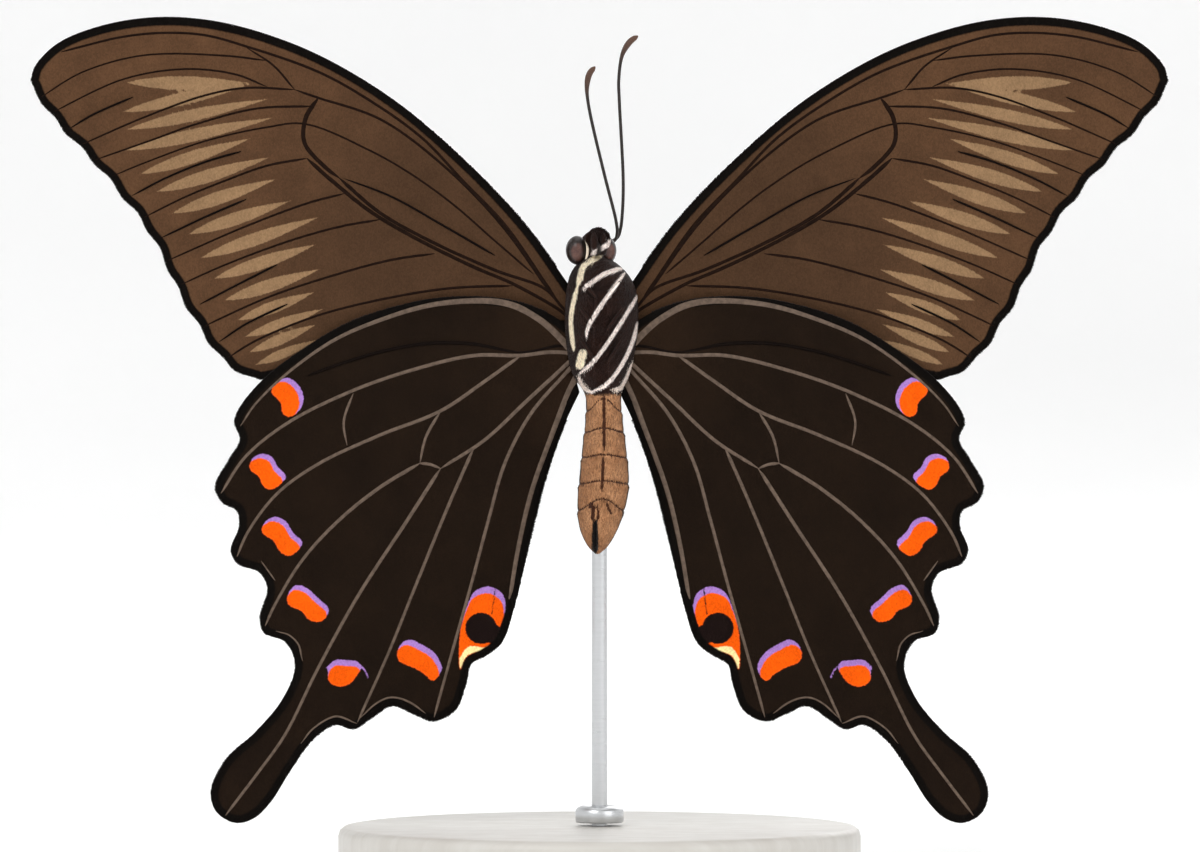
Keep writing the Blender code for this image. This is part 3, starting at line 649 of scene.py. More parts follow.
def streak_fields(x, z):
    """The nearest pale streak's half width at each point, and the distance across it.

    Each streak is a spindle: its half width rises and falls as a sine along it and runs on below
    nothing past its ends. Every second streak counts its distance the other way, so two neighbours
    meet with the same sign and no false middle line shows between them.
    """
    best, half, across = (np.full(x.shape, -FAR) for _ in range(3))
    for index, (inner, outer, width) in enumerate(STREAKS):
        size = math.dist(inner, outer)
        ax, az = np.subtract(outer, inner) / size
        dx, dz = x - inner[0], z - inner[1]
        share = (dx * ax + dz * az) / size
        spindle = np.sin(np.pi * np.clip(share, 0, 1) ** 1.2) ** 0.8
        own = width / 2 * spindle - size * np.maximum(np.maximum(-share, share - 1), 0) / 3
        off = (dx * az - dz * ax) * (-1) ** index
        nearer = own - np.abs(off) > best
        best = np.where(nearer, own - np.abs(off), best)
        half, across = np.where(nearer, own, half), np.where(nearer, off, across)
    return best, half, across


def line_depth(line, x, z):
    """How far inside a line of one width each point is."""
    width, points = line
    return width / 2 - distance_to([smooth_curve(points, 4)], x, z)


def spot_fields(x, z):
    """Depths inside the hindwing's markings: violet is each whole spot, orange the part that the spot's
    own outline, shifted, also covers, cream and pupil the eyespot's. A union is the greatest of its
    depths and an overlap the least."""
    whole, bare = np.full(x.shape, -FAR), np.full(x.shape, -FAR)
    for (dx, dz), points in LUNULES:
        outline = closed_curve(points)
        own = depth_inside(outline, x, z)
        whole = np.maximum(whole, own)
        bare = np.maximum(bare, np.minimum(own + 0.05, depth_inside(outline, x - dx, z - dz)))
    for line in VIOLET_LINES:
        whole = np.maximum(whole, line_depth(line, x, z))
    pupil = line_depth(SPOT_LINE, x, z)
    for (px, pz), radius in PUPILS:
        pupil = np.maximum(pupil, radius - np.hypot(x - px, z - pz))
    cream = np.minimum(depth_inside(closed_curve(CREAM, 4), x, z), whole)
    return {"violet": whole, "orange": bare, "cream": cream, "pupil": pupil}


def curves_of(veins):
    """The middle lines of these veins."""
    return [smooth_curve(points, 4) for _, points in veins]


def fore_fields(x, z):
    """The pale streaks, which the upperside shows as a soft band, and nearness to the wing's root."""
    band, half, across = streak_fields(x, z)
    return {"band": band, "streak_half": half, "streak_across": across, "inner": INNER_REACH - np.hypot(x, z)}


def hind_fields(x, z):
    """The spots, and the upperside's bright patch below the leading edge: an oval by its depth."""
    across, up = (x - GLEAM_AT[0]) * GLEAM_SQUASH[0], (z - GLEAM_AT[1]) * GLEAM_SQUASH[1]
    return {**spot_fields(x, z), "patch": GLEAM_REACH - np.hypot(across, up)}


def wing_skin(name, side, grid, edges, upper_rim, veins, depth, extra, finishes):
    """A closed wing: its grid once for each face, half a thickness apart, joined round the margin."""
    x, z = grid
    rim = np.minimum(distance_to(edges[:1], x, z) * upper_rim, distance_to(edges[1:], x, z))
    away = distance_to(curves_of(veins), x, z)
    middle, half = pleated(depth, away, rim, x, z), tapered_half(rim)
    front, back = np.stack([x, middle - half, z], -1), np.stack([x, middle + half, z], -1)
    points = loft_points(np.concatenate([front, back[:, ::-1]], 1)) * (side, 1, 1)
    fields = {"rim": rim, "vein": away, "out": np.hypot(x, z + 1), **extra(x, z)}
    fields = {k: loft_points(np.concatenate([v, v[:, ::-1]], 1)[..., None])[:, 0] for k, v in fields.items()}
    rows, across = x.shape
    column = np.tile(np.arange(2 * across) >= across, rows - 1)
    slots = np.concatenate([column, np.zeros(4 * across)])
    return make_piece(name, points, loft_faces(rows, 2 * across), finishes, slots, fields)


def vein_tubes(name, side, veins, depth, stand, finish):
    """Veins as fine ridges, half sunk in both faces of the wing, tapering to a point over their ends."""
    parts, sides = [], []
    for width, knots in veins:
        flat = smooth_curve(knots, 10)
        ends = np.multiply(width, VEIN_ENDS) if np.isscalar(width) else np.multiply(width, 0.6)
        path = np.stack([flat[:, 0], depth(flat[:, 0], flat[:, 1]), flat[:, 1]], -1)
        share, size = along(path), step_lengths(flat).sum()
        point = min(VEIN_POINT, 0.25 * size)
        near, far = [np.clip((part * size + 0.1) / point, 0, 1) for part in (share, 1 - share)]
        taper = np.sqrt(near * far)
        deep = WING_HALF_THICK + stand * (0.4 + 0.6 * taper)
        rings = tube_rings(path, np.interp(share, (0, 1), ends) * taper, deep, 10, (0, -1, 0))
        parts.append((loft_points(rings) * (side, 1, 1), loft_faces(*rings.shape[:2])))
        sides.append(loft_points(path[:, None, 1:2] - rings[..., 1:2])[:, 0])
    points, faces = joined(parts)
    return make_piece(name, points, faces, [finish], None, {"side": np.concatenate(sides) * 10})


def into_border(veins, edges):
    """Carries each vein that ends near the margin straight on into the dark border."""
    made = []
    for width, knots in veins:
        knots = np.array(knots, float)
        for end, before in ((0, 1), (-1, -2)):
            way = knots[end] - knots[before]
            gap = distance_to(edges, *knots[end][:, None])[0] - BORDER_REACH
            if 0.1 < gap < 2.0:
                carried = knots[end] + way / np.linalg.norm(way) * gap
                knots = np.vstack([carried, knots] if end == 0 else [knots, carried])
        made.append((width, knots))
    return made


# Places on the upper and the lower edge that a row of a wing's grid joins.
FORE_PAIRS = [((2.6, 3.8), (2.6, 0.2)), ((54.95, 24.2), (54.95, 24.2))]
HIND_PAIRS = [
    ((2.6, 0.0), (1.9, -6.0)), ((14.5, 3.1), (5.2, -14.5)), ((28.5, -1.9), (8.3, -27.0)),
    ((34.5, -7.4), (10.9, -31.2)), ((34.5, -10.5), (12.8, -33.9)), ((36.9, -15.0), (15.9, -37.5)),
    ((34.7, -18.2), (19.9, -36.05)), ((35.4, -21.1), (22.1, -37.4)), ((31.85, -24.9), (23.0, -38.0)),
    ((32.4, -28.4), (24.6, -38.2)), ((30.2, -29.9), (25.8, -38.1)), ((29.2, -32.1), (27.6, -39.4)),
    ((33.0, -38.6), (29.7, -42.3)), ((37.0, -43.4), (32.2, -46.0)), (TAIL_TIP, TAIL_TIP),
]
# Rows, points to a row, rows that the smoothing spans, reach of the detail, bow of the rows.
FORE_GRID = (320, 124, 6, 0.3, 0.0)
HIND_GRID = (400, 118, 14, 0.38, 0.9)
FORE_EDGES, HIND_EDGES = forewing_edges(), hindwing_edges()


def make_wings():
    """Each wing's skin, veins and folds, on both sides."""
    fore = (wing_grid(FORE_EDGES, FORE_PAIRS, *FORE_GRID), FORE_EDGES, 0.95,
            into_border(FORE_VEINS, FORE_EDGES[1:]), forewing_depth, fore_fields, (FORE_UNDER, FORE_UPPER))
    hind = (wing_grid(HIND_EDGES, HIND_PAIRS, *HIND_GRID), HIND_EDGES, 1.0,
            into_border(HIND_VEINS, HIND_EDGES), hindwing_depth, hind_fields, (HIND_UNDER, HIND_UPPER))
    wings = (("forewing", fore, FORE_FOLDS, DARK_VEIN, ()),
             ("hindwing", hind, HIND_FOLDS, PALE_VEIN, ("tail",)))
    for name, side in (("left", -1), ("right", 1)):
        for word, wing, folds, line, more in wings:
            veins, depth = wing[3:5]
            skin = wing_skin(f"{word}_skin_{name}", side, *wing)
            wear(skin, word, *[f"{node}_{name}" for node in (word, *more)])
            wear(vein_tubes(f"{word}_veins_{name}", side, veins, depth, VEIN_STAND, line), word)
            wear(vein_tubes(f"{word}_folds_{name}", side, folds, lambda x, z: depth(x, z) + FOLD_SINK,
                            FOLD_STAND, FOLD_LINE), word)


make_wings()


# ---------------------------------------------------------------- body: shape and markings
# Ovals up the body: height, middle across, half width, middle in depth, half depth.
TRUNK = [(-21.4, -0.2, 0.3, -4.1, 0.3), (-20.6, -0.15, 1.1, -4.1, 1.2), (-19.3, -0.08, 1.8, -4.0, 1.75),
         (-18.0, 0.05, 2.2, -3.9, 2.1), (-16.0, 0.3, 2.48, -3.75, 2.3), (-14.0, 0.45, 2.45, -3.6, 2.3),
         (-11.0, 0.45, 2.15, -3.4, 2.1), (-8.5, 0.43, 1.87, -3.05, 1.8), (-6.2, 0.35, 1.85, -2.6, 1.85),
         (-4.3, 0.15, 2.8, -1.7, 2.85), (-2.0, 0.15, 3.35, -1.3, 3.5), (1.0, 0.2, 3.6, -1.2, 3.75),
         (4.0, 0.15, 3.35, -1.3, 3.4), (5.6, -0.1, 2.6, -1.5, 2.7), (6.6, -0.3, 1.6, -1.6, 1.75),
         (7.0, -0.5, 1.15, -1.55, 1.25), (7.6, -0.75, 1.3, -1.5, 1.25), (8.15, -0.8, 1.4, -1.5, 1.35),
         (8.7, -0.6, 1.22, -1.5, 1.28), (9.1, -0.45, 1.0, -1.5, 1.04), (9.34, -0.4, 0.68, -1.5, 0.7),
         (9.45, -0.38, 0.26, -1.5, 0.26)]
COAT_DEPTH = 0.12
# Joints of the abdomen: height at the sides, and how far each arches up under the belly.
SEGMENTS = [(-7.8, 1.2), (-9.8, 0.42), (-12.2, 0.3), (-14.7, 0.32), (-17.2, 1.1)]
SEGMENT_GROOVE = 0.07
PLATES_TOP, PLATES_END = -6.6, -20.5
SLIT_AT = -0.42
SLIT_TOP = -18.0
SLIT_DEEP = 0.45
WAIST = -6.15
BELLY_TURN = 1.75
JOINTS_TOP, JOINTS_END = -6.4, -20
JOINT_LINE = 0.11
# Strokes of the body's markings: width, and points across and up.
WHITE_MARKS = [
    (0.44, [(-1.6, 3.8), (-0.6, 4.55), (0.6, 5.3), (2.25, 5.85)]),
    (0.4, [(-1.25, -0.75), (-1.15, 0.0), (-0.35, 1.45), (0.85, 3.2), (1.85, 4.55), (2.4, 5.4)]),
    (0.37, [(-2.0, -4.3), (-0.6, -3.1), (0.85, -1.25), (2.35, 1.1), (3.3, 2.7), (3.7, 3.5)]),
    (0.38, [(-0.6, -5.9), (0.6, -5.3), (1.6, -4.2), (2.6, -2.5), (3.3, -0.75), (3.6, 0.7)]),
    (0.44, [(-0.75, 7.1), (0.15, 7.62), (1.05, 8.15)]),
    (0.34, [(-2.0, -4.5), (-1.75, -5.2), (-1.1, -5.85), (-0.6, -6.0)]),
    (0.42, [(3.3, -3.0), (2.9, -4.0), (2.45, -4.95), (2.1, -5.55), (1.4, -5.8)]),
]
CREAM_MARKS = [
    (0.55, [(0.1, 6.9), (-0.9, 6.5), (-1.5, 6.0), (-1.75, 5.3), (-2.05, 4.2)]),
    (0.42, [(-2.05, 4.2), (-2.45, 2.7), (-2.7, 1.2), (-2.65, -0.4), (-2.45, -2.0)]),
    (0.8, [(-1.5, -2.1), (-1.75, -2.8), (-1.9, -3.6)]),
]
BROWN_LINES = [
    (0.3, [(0.42, -6.3), (0.44, -9.0), (0.45, -11.5)]), (0.3, [(0.37, -12.1), (0.3, -13.8), (0.23, -15.3)]),
    (0.26, [(0.62, -16.5), (0.9, -17.0), (1.17, -17.6)]),
    (0.26, [(-1.0, -17.05), (-0.7, -16.6), (-0.5, -17.0), (-0.1, -16.6)]),
    (0.36, [(-0.65, -16.5), (-0.6, -17.3), (-0.65, -18.1)]),
    (0.24, [(-0.15, -16.9), (-0.1, -17.5), (-0.2, -18.1)]),
]
TRUNK_CURVE = smooth_curve(TRUNK, 10)


def trunk_at(z):
    """The oval's middle and half sizes at each height, less the coat's depth."""
    cx, a, cy, b = [np.interp(z, TRUNK_CURVE[:, 0], TRUNK_CURVE[:, k]) for k in (1, 2, 3, 4)]
    return cx, np.maximum(a - COAT_DEPTH, 0.03), cy, np.maximum(b - COAT_DEPTH, 0.03)


def segment_gap(z, turn):
    """The distance below the nearest joint of the abdomen: each joint arches up under the belly."""
    arch = np.clip(np.cos(turn), 0, 1) ** 4
    gaps = [z - low - rise * arch for low, rise in SEGMENTS]
    return np.choose(np.abs(gaps).argmin(0), gaps)


def body_surface(z, turn):
    """A point of the skin: an oval at height z, turned from the belly's middle. A narrow bell is pressed
    in at each joint of the abdomen, less half a wider one just below it, and another at the slit
    between the claspers."""
    cx, a, cy, b = trunk_at(z)
    gap = segment_gap(z, turn)
    plates = np.clip((PLATES_TOP - z) / 0.6, 0, 1) * np.clip((z - PLATES_END) / 1.5, 0, 1)
    press = SEGMENT_GROOVE * plates * (bell(gap, 0.16) - 0.5 * bell(gap + 0.5, 0.35))
    x = cx + a * np.sin(turn)
    below = np.clip((SLIT_TOP - z) / 0.5, 0, 1) * (np.cos(turn) > 0)
    press = press + np.minimum(SLIT_DEEP * below * bell(x - SLIT_AT, 0.2), 0.5 * b)
    return np.stack([x - press * np.sin(turn), cy - (b - press) * np.cos(turn), z], -1)


def mark_depth(marks, x, z):
    """How far inside the nearest of these brush strokes a point is: each stroke is a row of discs
    along its curve, thinning towards its ends."""
    best = np.full(x.shape, -FAR)
    for width, knots in marks:
        path = smooth_curve(knots, 6)
        own = np.linspace(0, 1, int(4 * np.ptp(path, axis=0).max() / width) + 8)
        path = at_share(path, own)
        ends = np.clip(np.minimum(own, 1 - own) * 7, 0, 1) ** 0.7
        off = np.hypot(x[..., None] - path[:, 0], z[..., None] - path[:, 1])
        best = np.maximum(best, (width / 2 * (0.35 + 0.65 * ends) - off).max(-1))
    return best


def body_fields(points, turn):
    """Every marking of the body at these points, as depths; the strokes are on the belly side only."""
    x, z = points[..., 0], points[..., 2]
    belly = np.abs(np.angle(np.exp(1j * turn))) < BELLY_TURN
    joints = np.where((z < JOINTS_TOP) & (z > JOINTS_END), JOINT_LINE - np.abs(segment_gap(z, turn)), -1.0)
    slit = 0.22 + 0.12 * np.clip((SLIT_TOP - 0.3 - z) / 1.5, 0, 1) - 0.6 * np.clip(-20.9 - z, 0, 1)
    white, cream, brown = [np.where(belly, mark_depth(marks, x, z), -1.0)
                           for marks in (WHITE_MARKS, CREAM_MARKS, BROWN_LINES)]
    return {
        "white": white,
        "cream": cream,
        "lines": np.maximum(joints, brown).clip(-1),
        "slit": np.where((z < SLIT_TOP) & (np.cos(turn) > 0), slit - np.abs(x - SLIT_AT), -1.0),
        "tail": WAIST - z,
        "under": np.cos(turn),
    }


def body_colour(f):
    """Dark thorax and head with pale strokes; tan abdomen, dark above, with brown joints."""
    ragged = f.fray(0.6, 1500.0, 3.0, 0.6)
    under = f.step(f.math("ADD", f.field("under"), ragged), -0.45, -0.15)
    flank = f.step(f.math("ADD", f.field("under"), f.math("MULTIPLY", ragged, 0.5)), 0.16, 0.36)
    cloud = f.step(f.noise(500.0, 4.0), 0.3, 0.7)
    chest = f.mix(under, tone(40, 40, 24), f.mix(cloud, tone(42, 23, 16), tone(31, 16, 11)))
    belly = f.mix(flank, tone(30, 22, 15), f.mix(cloud, tone(178, 130, 92), tone(160, 112, 76)))
    colour = f.mix(f.step(f.math("ADD", f.field("tail"), ragged), -0.1, 0.25), chest, belly)
    for field, soft, paint in (("lines", 0.035, tone(66, 34, 18)), ("slit", 0.06, tone(14, 8, 6)),
                               ("cream", 0.07, tone(250, 236, 208)), ("white", 0.07, tone(252, 238, 230))):
        colour = f.painted(colour, f.field(field), soft, paint)
    return colour


def body_skin_finish():
    """The body's colours under a lengthwise grain, with a bump of fine scales."""
    f = Finish("body skin", Roughness=0.7, Specular_IOR_Level=0.15, Sheen_Weight=0.1)
    f.cover(body_colour(f), f.step(f.noise(4200.0, 3.0, 0.6, (1.0, 1.0, 0.35)), 0.25, 0.75, 0.75, 1.25))
    f.bump(f.cells(8000.0, (1.0, 1.0, 0.35)), 0.00005, 0.6)
    return f.material


BODY_SKIN = body_skin_finish()
BODY_COAT = tuft_finish("body coat", body_colour)


def make_body():
    """The skin: rings of the body's surface, closer together where it curves."""
    z = np.interp(np.linspace(0, 1, 300), along(TRUNK_CURVE[:, [0, 2]]), TRUNK_CURVE[:, 0])
    z, turn = np.meshgrid(z, np.linspace(-np.pi, np.pi, 150, endpoint=False), indexing="ij")
    rings = body_surface(z, turn)
    fields = body_fields(loft_points(rings), loft_points(turn[..., None])[:, 0])
    skin = loft_piece("body_skin", rings, BODY_SKIN, fields)
    wear(skin, "body_hair", "thorax", "abdomen", "head", "clasper_left", "clasper_right")


make_body()


# ---------------------------------------------------------------- coat
TUFT_SIDES = 3
TUFT_RINGS = ((0.0, 0.75), (0.3, 1.0), (0.7, 0.7))
TUFT_SUNK = 0.04
TUFT_STRAY = 0.13
TUFT_PATCH = 0.003


def tuft_mesh(roots, normals, lies, lengths, widths, lifts):
    """Closed spindles, one to a root: each leaves the skin along its lie, lifts a little, then lies down.

    Each has a three-sided ring at every share of its length in TUFT_RINGS, and a point at its tip.
    """
    side = unit(np.cross(lies, normals))
    rings, patch = [], []
    for share, girth in TUFT_RINGS:
        rise = lifts * share * (1.5 - share) - TUFT_SUNK
        middle = roots + lies * (lengths * share)[:, None] + normals * (lengths * rise)[:, None]
        for k in range(TUFT_SIDES):
            turn = 2 * np.pi * k / TUFT_SIDES + np.pi / 2
            reach = (widths * girth / 2)[:, None]
            rings.append(middle + reach * (np.cos(turn) * side + 0.5 * np.sin(turn) * normals))
            patch.append((0.5 * (1 - share) * np.cos(turn), 0.5 * (1 - share) * np.sin(turn)))
    tips = roots + lies * lengths[:, None] + normals * (lengths * lifts * 0.5)[:, None]
    points = np.stack(rings + [tips], 1)
    n, own, last = TUFT_SIDES, points.shape[1], TUFT_SIDES * (len(TUFT_RINGS) - 1)
    root = [[2, 1, 0]]
    walls = [[r + k, r + (k + 1) % n, r + n + (k + 1) % n, r + n + k]
             for r in range(0, last, n) for k in range(n)]
    tip = [[last + k, last + (k + 1) % n, own - 1] for k in range(n)]
    base = (np.arange(len(roots)) * own)[:, None, None]
    faces = [(base + np.array(f)).reshape(-1, len(f[0])) for f in (root, walls, tip)]
    return points.reshape(-1, 3), faces, np.array(patch + [(0, 0)])


def make_coat(name, surface, u, v, lie, sizes, fields, finish, spot, rng, slot="body_hair"):
    """Tufts over a surface of two parameters, rooted at u and v. Each lies in the plane of its root's
    two tangents: lie gives its direction from the root and the first tangent, and it strays a little.

    sizes are the ranges of length, width and lift; spot gives each root's place on the flat pattern.
    """
    e = 1e-3
    here = surface(u, v)
    du, dv = surface(u + e, v) - here, surface(u, v + e) - here
    normal = unit(np.cross(du, dv))
    way = lie(here, unit(du))
    way = way + rng.normal(0, TUFT_STRAY, way.shape)
    way = unit(way - (way * normal).sum(1)[:, None] * normal)
    length, width, lift = [rng.uniform(low, high, len(u)) for low, high in sizes]
    points, faces, patch = tuft_mesh(here, normal, way, length, width, lift)
    own = len(patch)
    held = {k: np.repeat(f, own) for k, f in fields(here, v).items()}
    held["shade"] = np.repeat(rng.uniform(0, 1, len(u)), own)
    flat = np.repeat(spot(u, v), own, axis=0) + TUFT_PATCH * np.tile(patch, (len(u), 1))
    return wear(make_piece(name, points, faces, [finish], None, held, flat), slot)


def spread_flat(across, up):
    """Places on the flat pattern, a little in from its edges, from two shares of 0 to 1."""
    return np.stack([0.02 + 0.96 * across, 0.02 + 0.96 * up], -1)


def body_spot(z, turn):
    """The skin laid flat: its turn across and its height up."""
    return spread_flat((turn / (2 * np.pi) + 0.5) % 1, (z + 21.5) / 31.0)


def body_roots(heights, turns, count, rng):
    """Heights and turns spread evenly over the skin within their two ranges."""
    z = np.linspace(*heights, 400)
    _, a, _, b = trunk_at(z)
    share = np.cumsum(a + b)
    return np.interp(rng.uniform(share[0], share[-1], count), share, z), rng.uniform(*turns, count)


ACROSS = np.array([1.0, 0, 0])


def down(here, up):
    """Towards the tail, with a slant along the pale bands: it ramps up across the chest, fades out
    towards the waist and is greater near the neck."""
    x, z = here[:, :1], here[:, 2:]
    slant = np.clip((x + 1.2) / 1.6, 0, 1) * np.clip((z + 6.0) / 2.0, 0, 1)
    slant = slant * (0.55 + 0.9 * np.clip((z - 3.4) / 1.4, 0, 1))
    return -up - slant * ACROSS


def face_forward(here, up):
    """On the head: forward over the face and up over the crown."""
    return up * 0.5 + np.array([0.15, -1.0, 0.1])


def waist_out(here, up):
    """Down over the waist and out from the middle."""
    return -up + 0.5 * np.sign(here[:, :1] - 0.3) * ACROSS


# Name, range of heights, range of turns, count, lie, ranges of length, width and lift.
COATS = (
    ("coat_chest", (-6.3, 6.9), (-1.6, 1.6), 11500, down, ((0.4, 0.85), (0.06, 0.1), (0.1, 0.28))),
    ("coat_back", (-6.3, 6.9), (1.5, 4.8), 9000, down, ((0.6, 1.3), (0.06, 0.11), (0.15, 0.4))),
    ("coat_abdomen", (-21.2, -6.3), (-3.15, 3.15), 11500, down, ((0.22, 0.42), (0.07, 0.11), (0.05, 0.14))),
    ("coat_head", (6.9, 9.4), (-3.15, 3.15), 2600, face_forward, ((0.3, 0.6), (0.05, 0.08), (0.2, 0.5))),
)
RIM_LINES = [(620, [(3.35, -3.0), (2.95, -3.95), (2.5, -4.95), (2.1, -5.6), (1.3, -5.85)]),
             (260, [(-2.0, -4.6), (-1.65, -5.35), (-1.1, -5.95)])]
RIM_SCATTER = 0.17
RIM_SIZES = ((0.55, 1.2), (0.07, 0.12), (0.25, 0.85))
RIM_COAT = tuft_finish("rim coat", tone(240, 222, 206))


def rim_roots(rng):
    """Roots scattered about the chest's lower rim, as heights and turns."""
    spots = []
    for count, knots in RIM_LINES:
        path = smooth_curve(knots, 8)
        x, z = at_share(path, rng.uniform(0, 1, count)).T + rng.normal(0, RIM_SCATTER, (2, count))
        cx, a, _, _ = trunk_at(z)
        spots.append((z, np.arcsin(np.clip((x - cx) / a, -0.99, 0.99))))
    return np.concatenate(spots, axis=1)


def no_fields(*_):
    """No fields of a piece's own."""
    return {}


def dress_body():
    """The coats of the chest, back, abdomen and head, and the pale tufts round the chest's lower rim."""
    rng = np.random.default_rng(7)
    for name, heights, turns, count, lie, sizes in COATS:
        z, turn = body_roots(heights, turns, count, rng)
        make_coat(name, body_surface, z, turn, lie, sizes, body_fields, BODY_COAT, body_spot, rng)
    z, turn = rim_roots(rng)
    make_coat("coat_rim", body_surface, z, turn, waist_out, RIM_SIZES, no_fields, RIM_COAT, body_spot, rng)


dress_body()


FRINGE = tuft_finish("wing fringe", tone(15, 10, 8))
FRINGE_COUNT = 2400
FRINGE_SUNK = 0.12
FRINGE_SIZES = ((0.2, 0.3), (0.08, 0.12), (-0.05, 0.05))
HAIR_COUNT = 700
HAIR_EDGE = 0.6
HAIR_SUNK = 0.06
HAIR_SIZES = ((0.6, 1.3), (0.05, 0.08), (0.1, 0.4))
# Each wing's edges, depth and veins, and its root hair's finish, middles and spreads, and slant.
WING_SHAPES = {
    "forewing": (FORE_EDGES, forewing_depth, FORE_VEINS, tuft_finish("forewing root hair", tone(58, 42, 30)),
                 ((4.2, 1.6), (3.6, 2.0)), 0.25),
    "hindwing": (HIND_EDGES, hindwing_depth, HIND_VEINS, tuft_finish("hindwing root hair", tone(40, 28, 20)),
                 ((3.7, 1.3), (-2.4, 2.2)), -0.5),
}


def make_fringe(name, side, edges, depth, slot, rng):
    """Short scales standing out all round a wing's margin, square to it and in the wing's own plane."""
    rim = at_share(np.vstack([edges[0], edges[1][::-1]]), np.linspace(0, 1, 3000))
    share = np.linspace(0.02, 0.98, FRINGE_COUNT)
    run = at_share(np.gradient(rim, axis=0), share)
    out = unit(np.stack([-run[:, 1], run[:, 0]], -1))
    x, z = (at_share(rim, share) - FRINGE_SUNK * out).T
    ahead = np.stack([side * out[:, 0], np.zeros(len(x)), out[:, 1]], -1)
    rows = 0.05 + 0.9 * (np.arange(FRINGE_COUNT) * 0.618 % 1)
    spots = np.stack([0.01 + 0.98 * share, rows], -1)
    make_coat(name, lambda x, z: np.stack([side * x, depth(x, z), z], -1), x, z, lambda *_: ahead,
              FRINGE_SIZES, no_fields, FRINGE, lambda *_: spots, rng, slot)


def make_root_hair(name, side, word, rng):
    """Hair lying outwards over the upper face of a wing's root, thinning with distance from the body:
    the distance out is the size of a bell-shaped draw, and the height an even one."""
    edges, depth, veins, finish, ((cx, sx), (cz, sz)), slant = WING_SHAPES[word]
    x = cx + sx * np.abs(rng.normal(0, 0.8, HAIR_COUNT)) - 0.8
    x, z = np.maximum(x, 2.2), cz + sz * rng.uniform(-1, 1, HAIR_COUNT)
    kept = depth_inside(np.vstack([edges[0], edges[1][::-1]]), x, z) > HAIR_EDGE
    x, z = x[kept], z[kept]
    paths = curves_of(veins)

    def surface(x, z):
        middle = pleated(depth, distance_to(paths, x, z), distance_to(edges, x, z), x, z)
        return np.stack([side * x, middle + WING_HALF_THICK - HAIR_SUNK, z], -1)

    # On the right the parameters change places, so that the normals look out of the wing on both sides.
    grown = (lambda v, u: surface(u, v), z, x) if side > 0 else (surface, x, z)
    make_coat(name, *grown, lambda *_: np.array([side * 1.0, 0.0, slant]), HAIR_SIZES, no_fields, finish,
              lambda *_: spread_flat((x - 2) / 12, (z + 6) / 14), rng, word)


def dress_wings():
    """A fringe and root hair on each wing."""
    rng = np.random.default_rng(19)
    for name, side in (("left", -1), ("right", 1)):
        for word, (edges, depth, *_) in WING_SHAPES.items():
            make_fringe(f"fringe_{word}_{name}", side, edges, depth, word, rng)
            make_root_hair(f"hair_{word}_{name}", side, word, rng)


dress_wings()


# ---------------------------------------------------------------- head
HEAD_AT = (-0.8, -1.5, 8.15)
HEAD_TURN = math.radians(15)
EYE_OFFSET = 1.38
EYE_DROP = 0.6
EYE_SIZE = (1.08, 1.22, 1.38)
# The way each eye faces where it keeps its lit brown; everywhere else it gets painted shade.
EYE_LIT_WAY = (0.2, -0.96, -0.18)
EYE_RIM_SWING = (-62, 58)
EYE_RIM_THICK = 0.14


def head_place(across, forward, up):
    """A place given from the head's middle, in the head's own turned directions."""
    across, forward, up = np.broadcast_arrays(across, forward, up)
    c, s = math.cos(HEAD_TURN), math.sin(HEAD_TURN)
    return np.stack([HEAD_AT[0] + c * across - s * forward, HEAD_AT[1] + s * across + c * forward,
                     HEAD_AT[2] + up], -1)


def eye_finish():
    """Glossy brown facets, darker at their borders, with a soft mottle below a clear coat; painted shade
    darkens all but the part that faces forward, and more on the side by the head.
    """
    f = Finish("eye", Roughness=0.4, Specular_IOR_Level=0.3, Coat_Weight=0.3, Coat_Roughness=0.08)
    mottle = f.step(f.noise(1800.0, 3.0), 0.35, 0.65)
    colour = f.mix(mottle, tone(104, 68, 58), tone(84, 52, 44))
    # Painted shade: dark brown wherever the eye does not face forward, lit brown where it does.
    colour = f.mix(f.step(f.field("front"), 0.72, 0.9), tone(30, 17, 13), colour)
    # Painted shade: darker still on the eye's side next to the head.
    colour = f.mix(f.step(f.field("edge"), 0.0, 0.5, 0.85, 0.0), colour, tone(24, 14, 11))
    facets = f.cells(14000.0)
    colour = f.mix(f.step(facets, 0.35, 0.6, 0.0, 0.35), colour, tone(20, 12, 10))
    f.set(Base_Color=colour)
    f.bump(facets, 0.00002, 0.5)
    return f.material


def ball_grid(rows, sides):
    """Tilts from one pole of a ball to the other, less a pinhole, and turns all round it."""
    tilts, turns = np.linspace(0.03, np.pi - 0.03, rows), np.linspace(0, 2 * np.pi, sides, endpoint=False)
    return np.meshgrid(tilts, turns, indexing="ij")


def ball(tilt, turn):
    """Points of a ball of radius one by tilt from its pole and turn: first along the pole, then round it."""
    return np.stack([np.cos(tilt), np.sin(tilt) * np.cos(turn), np.sin(tilt) * np.sin(turn)], -1)


def make_eyes():
    """Ellipsoids with their poles to the sides, so the rings of facets run round each eye."""
    finish = eye_finish()
    shape = ball(*ball_grid(60, 80))
    across, forward, up = np.moveaxis(shape * EYE_SIZE, -1, 0)
    out = loft_points(shape)
    # edge grows away from the head and front with how far a point faces forward; both steer the eye's painted
    # shade.
    fields = {"edge": out[:, 0] + 0.35, "front": out @ np.array(EYE_LIT_WAY)}
    for name, side in (("left", -1), ("right", 1)):
        rings = head_place(side * (EYE_OFFSET + across), forward, up - EYE_DROP)
        wear(loft_piece(f"eye_ball_{name}", rings, finish, fields), "eye", f"eye_{name}")


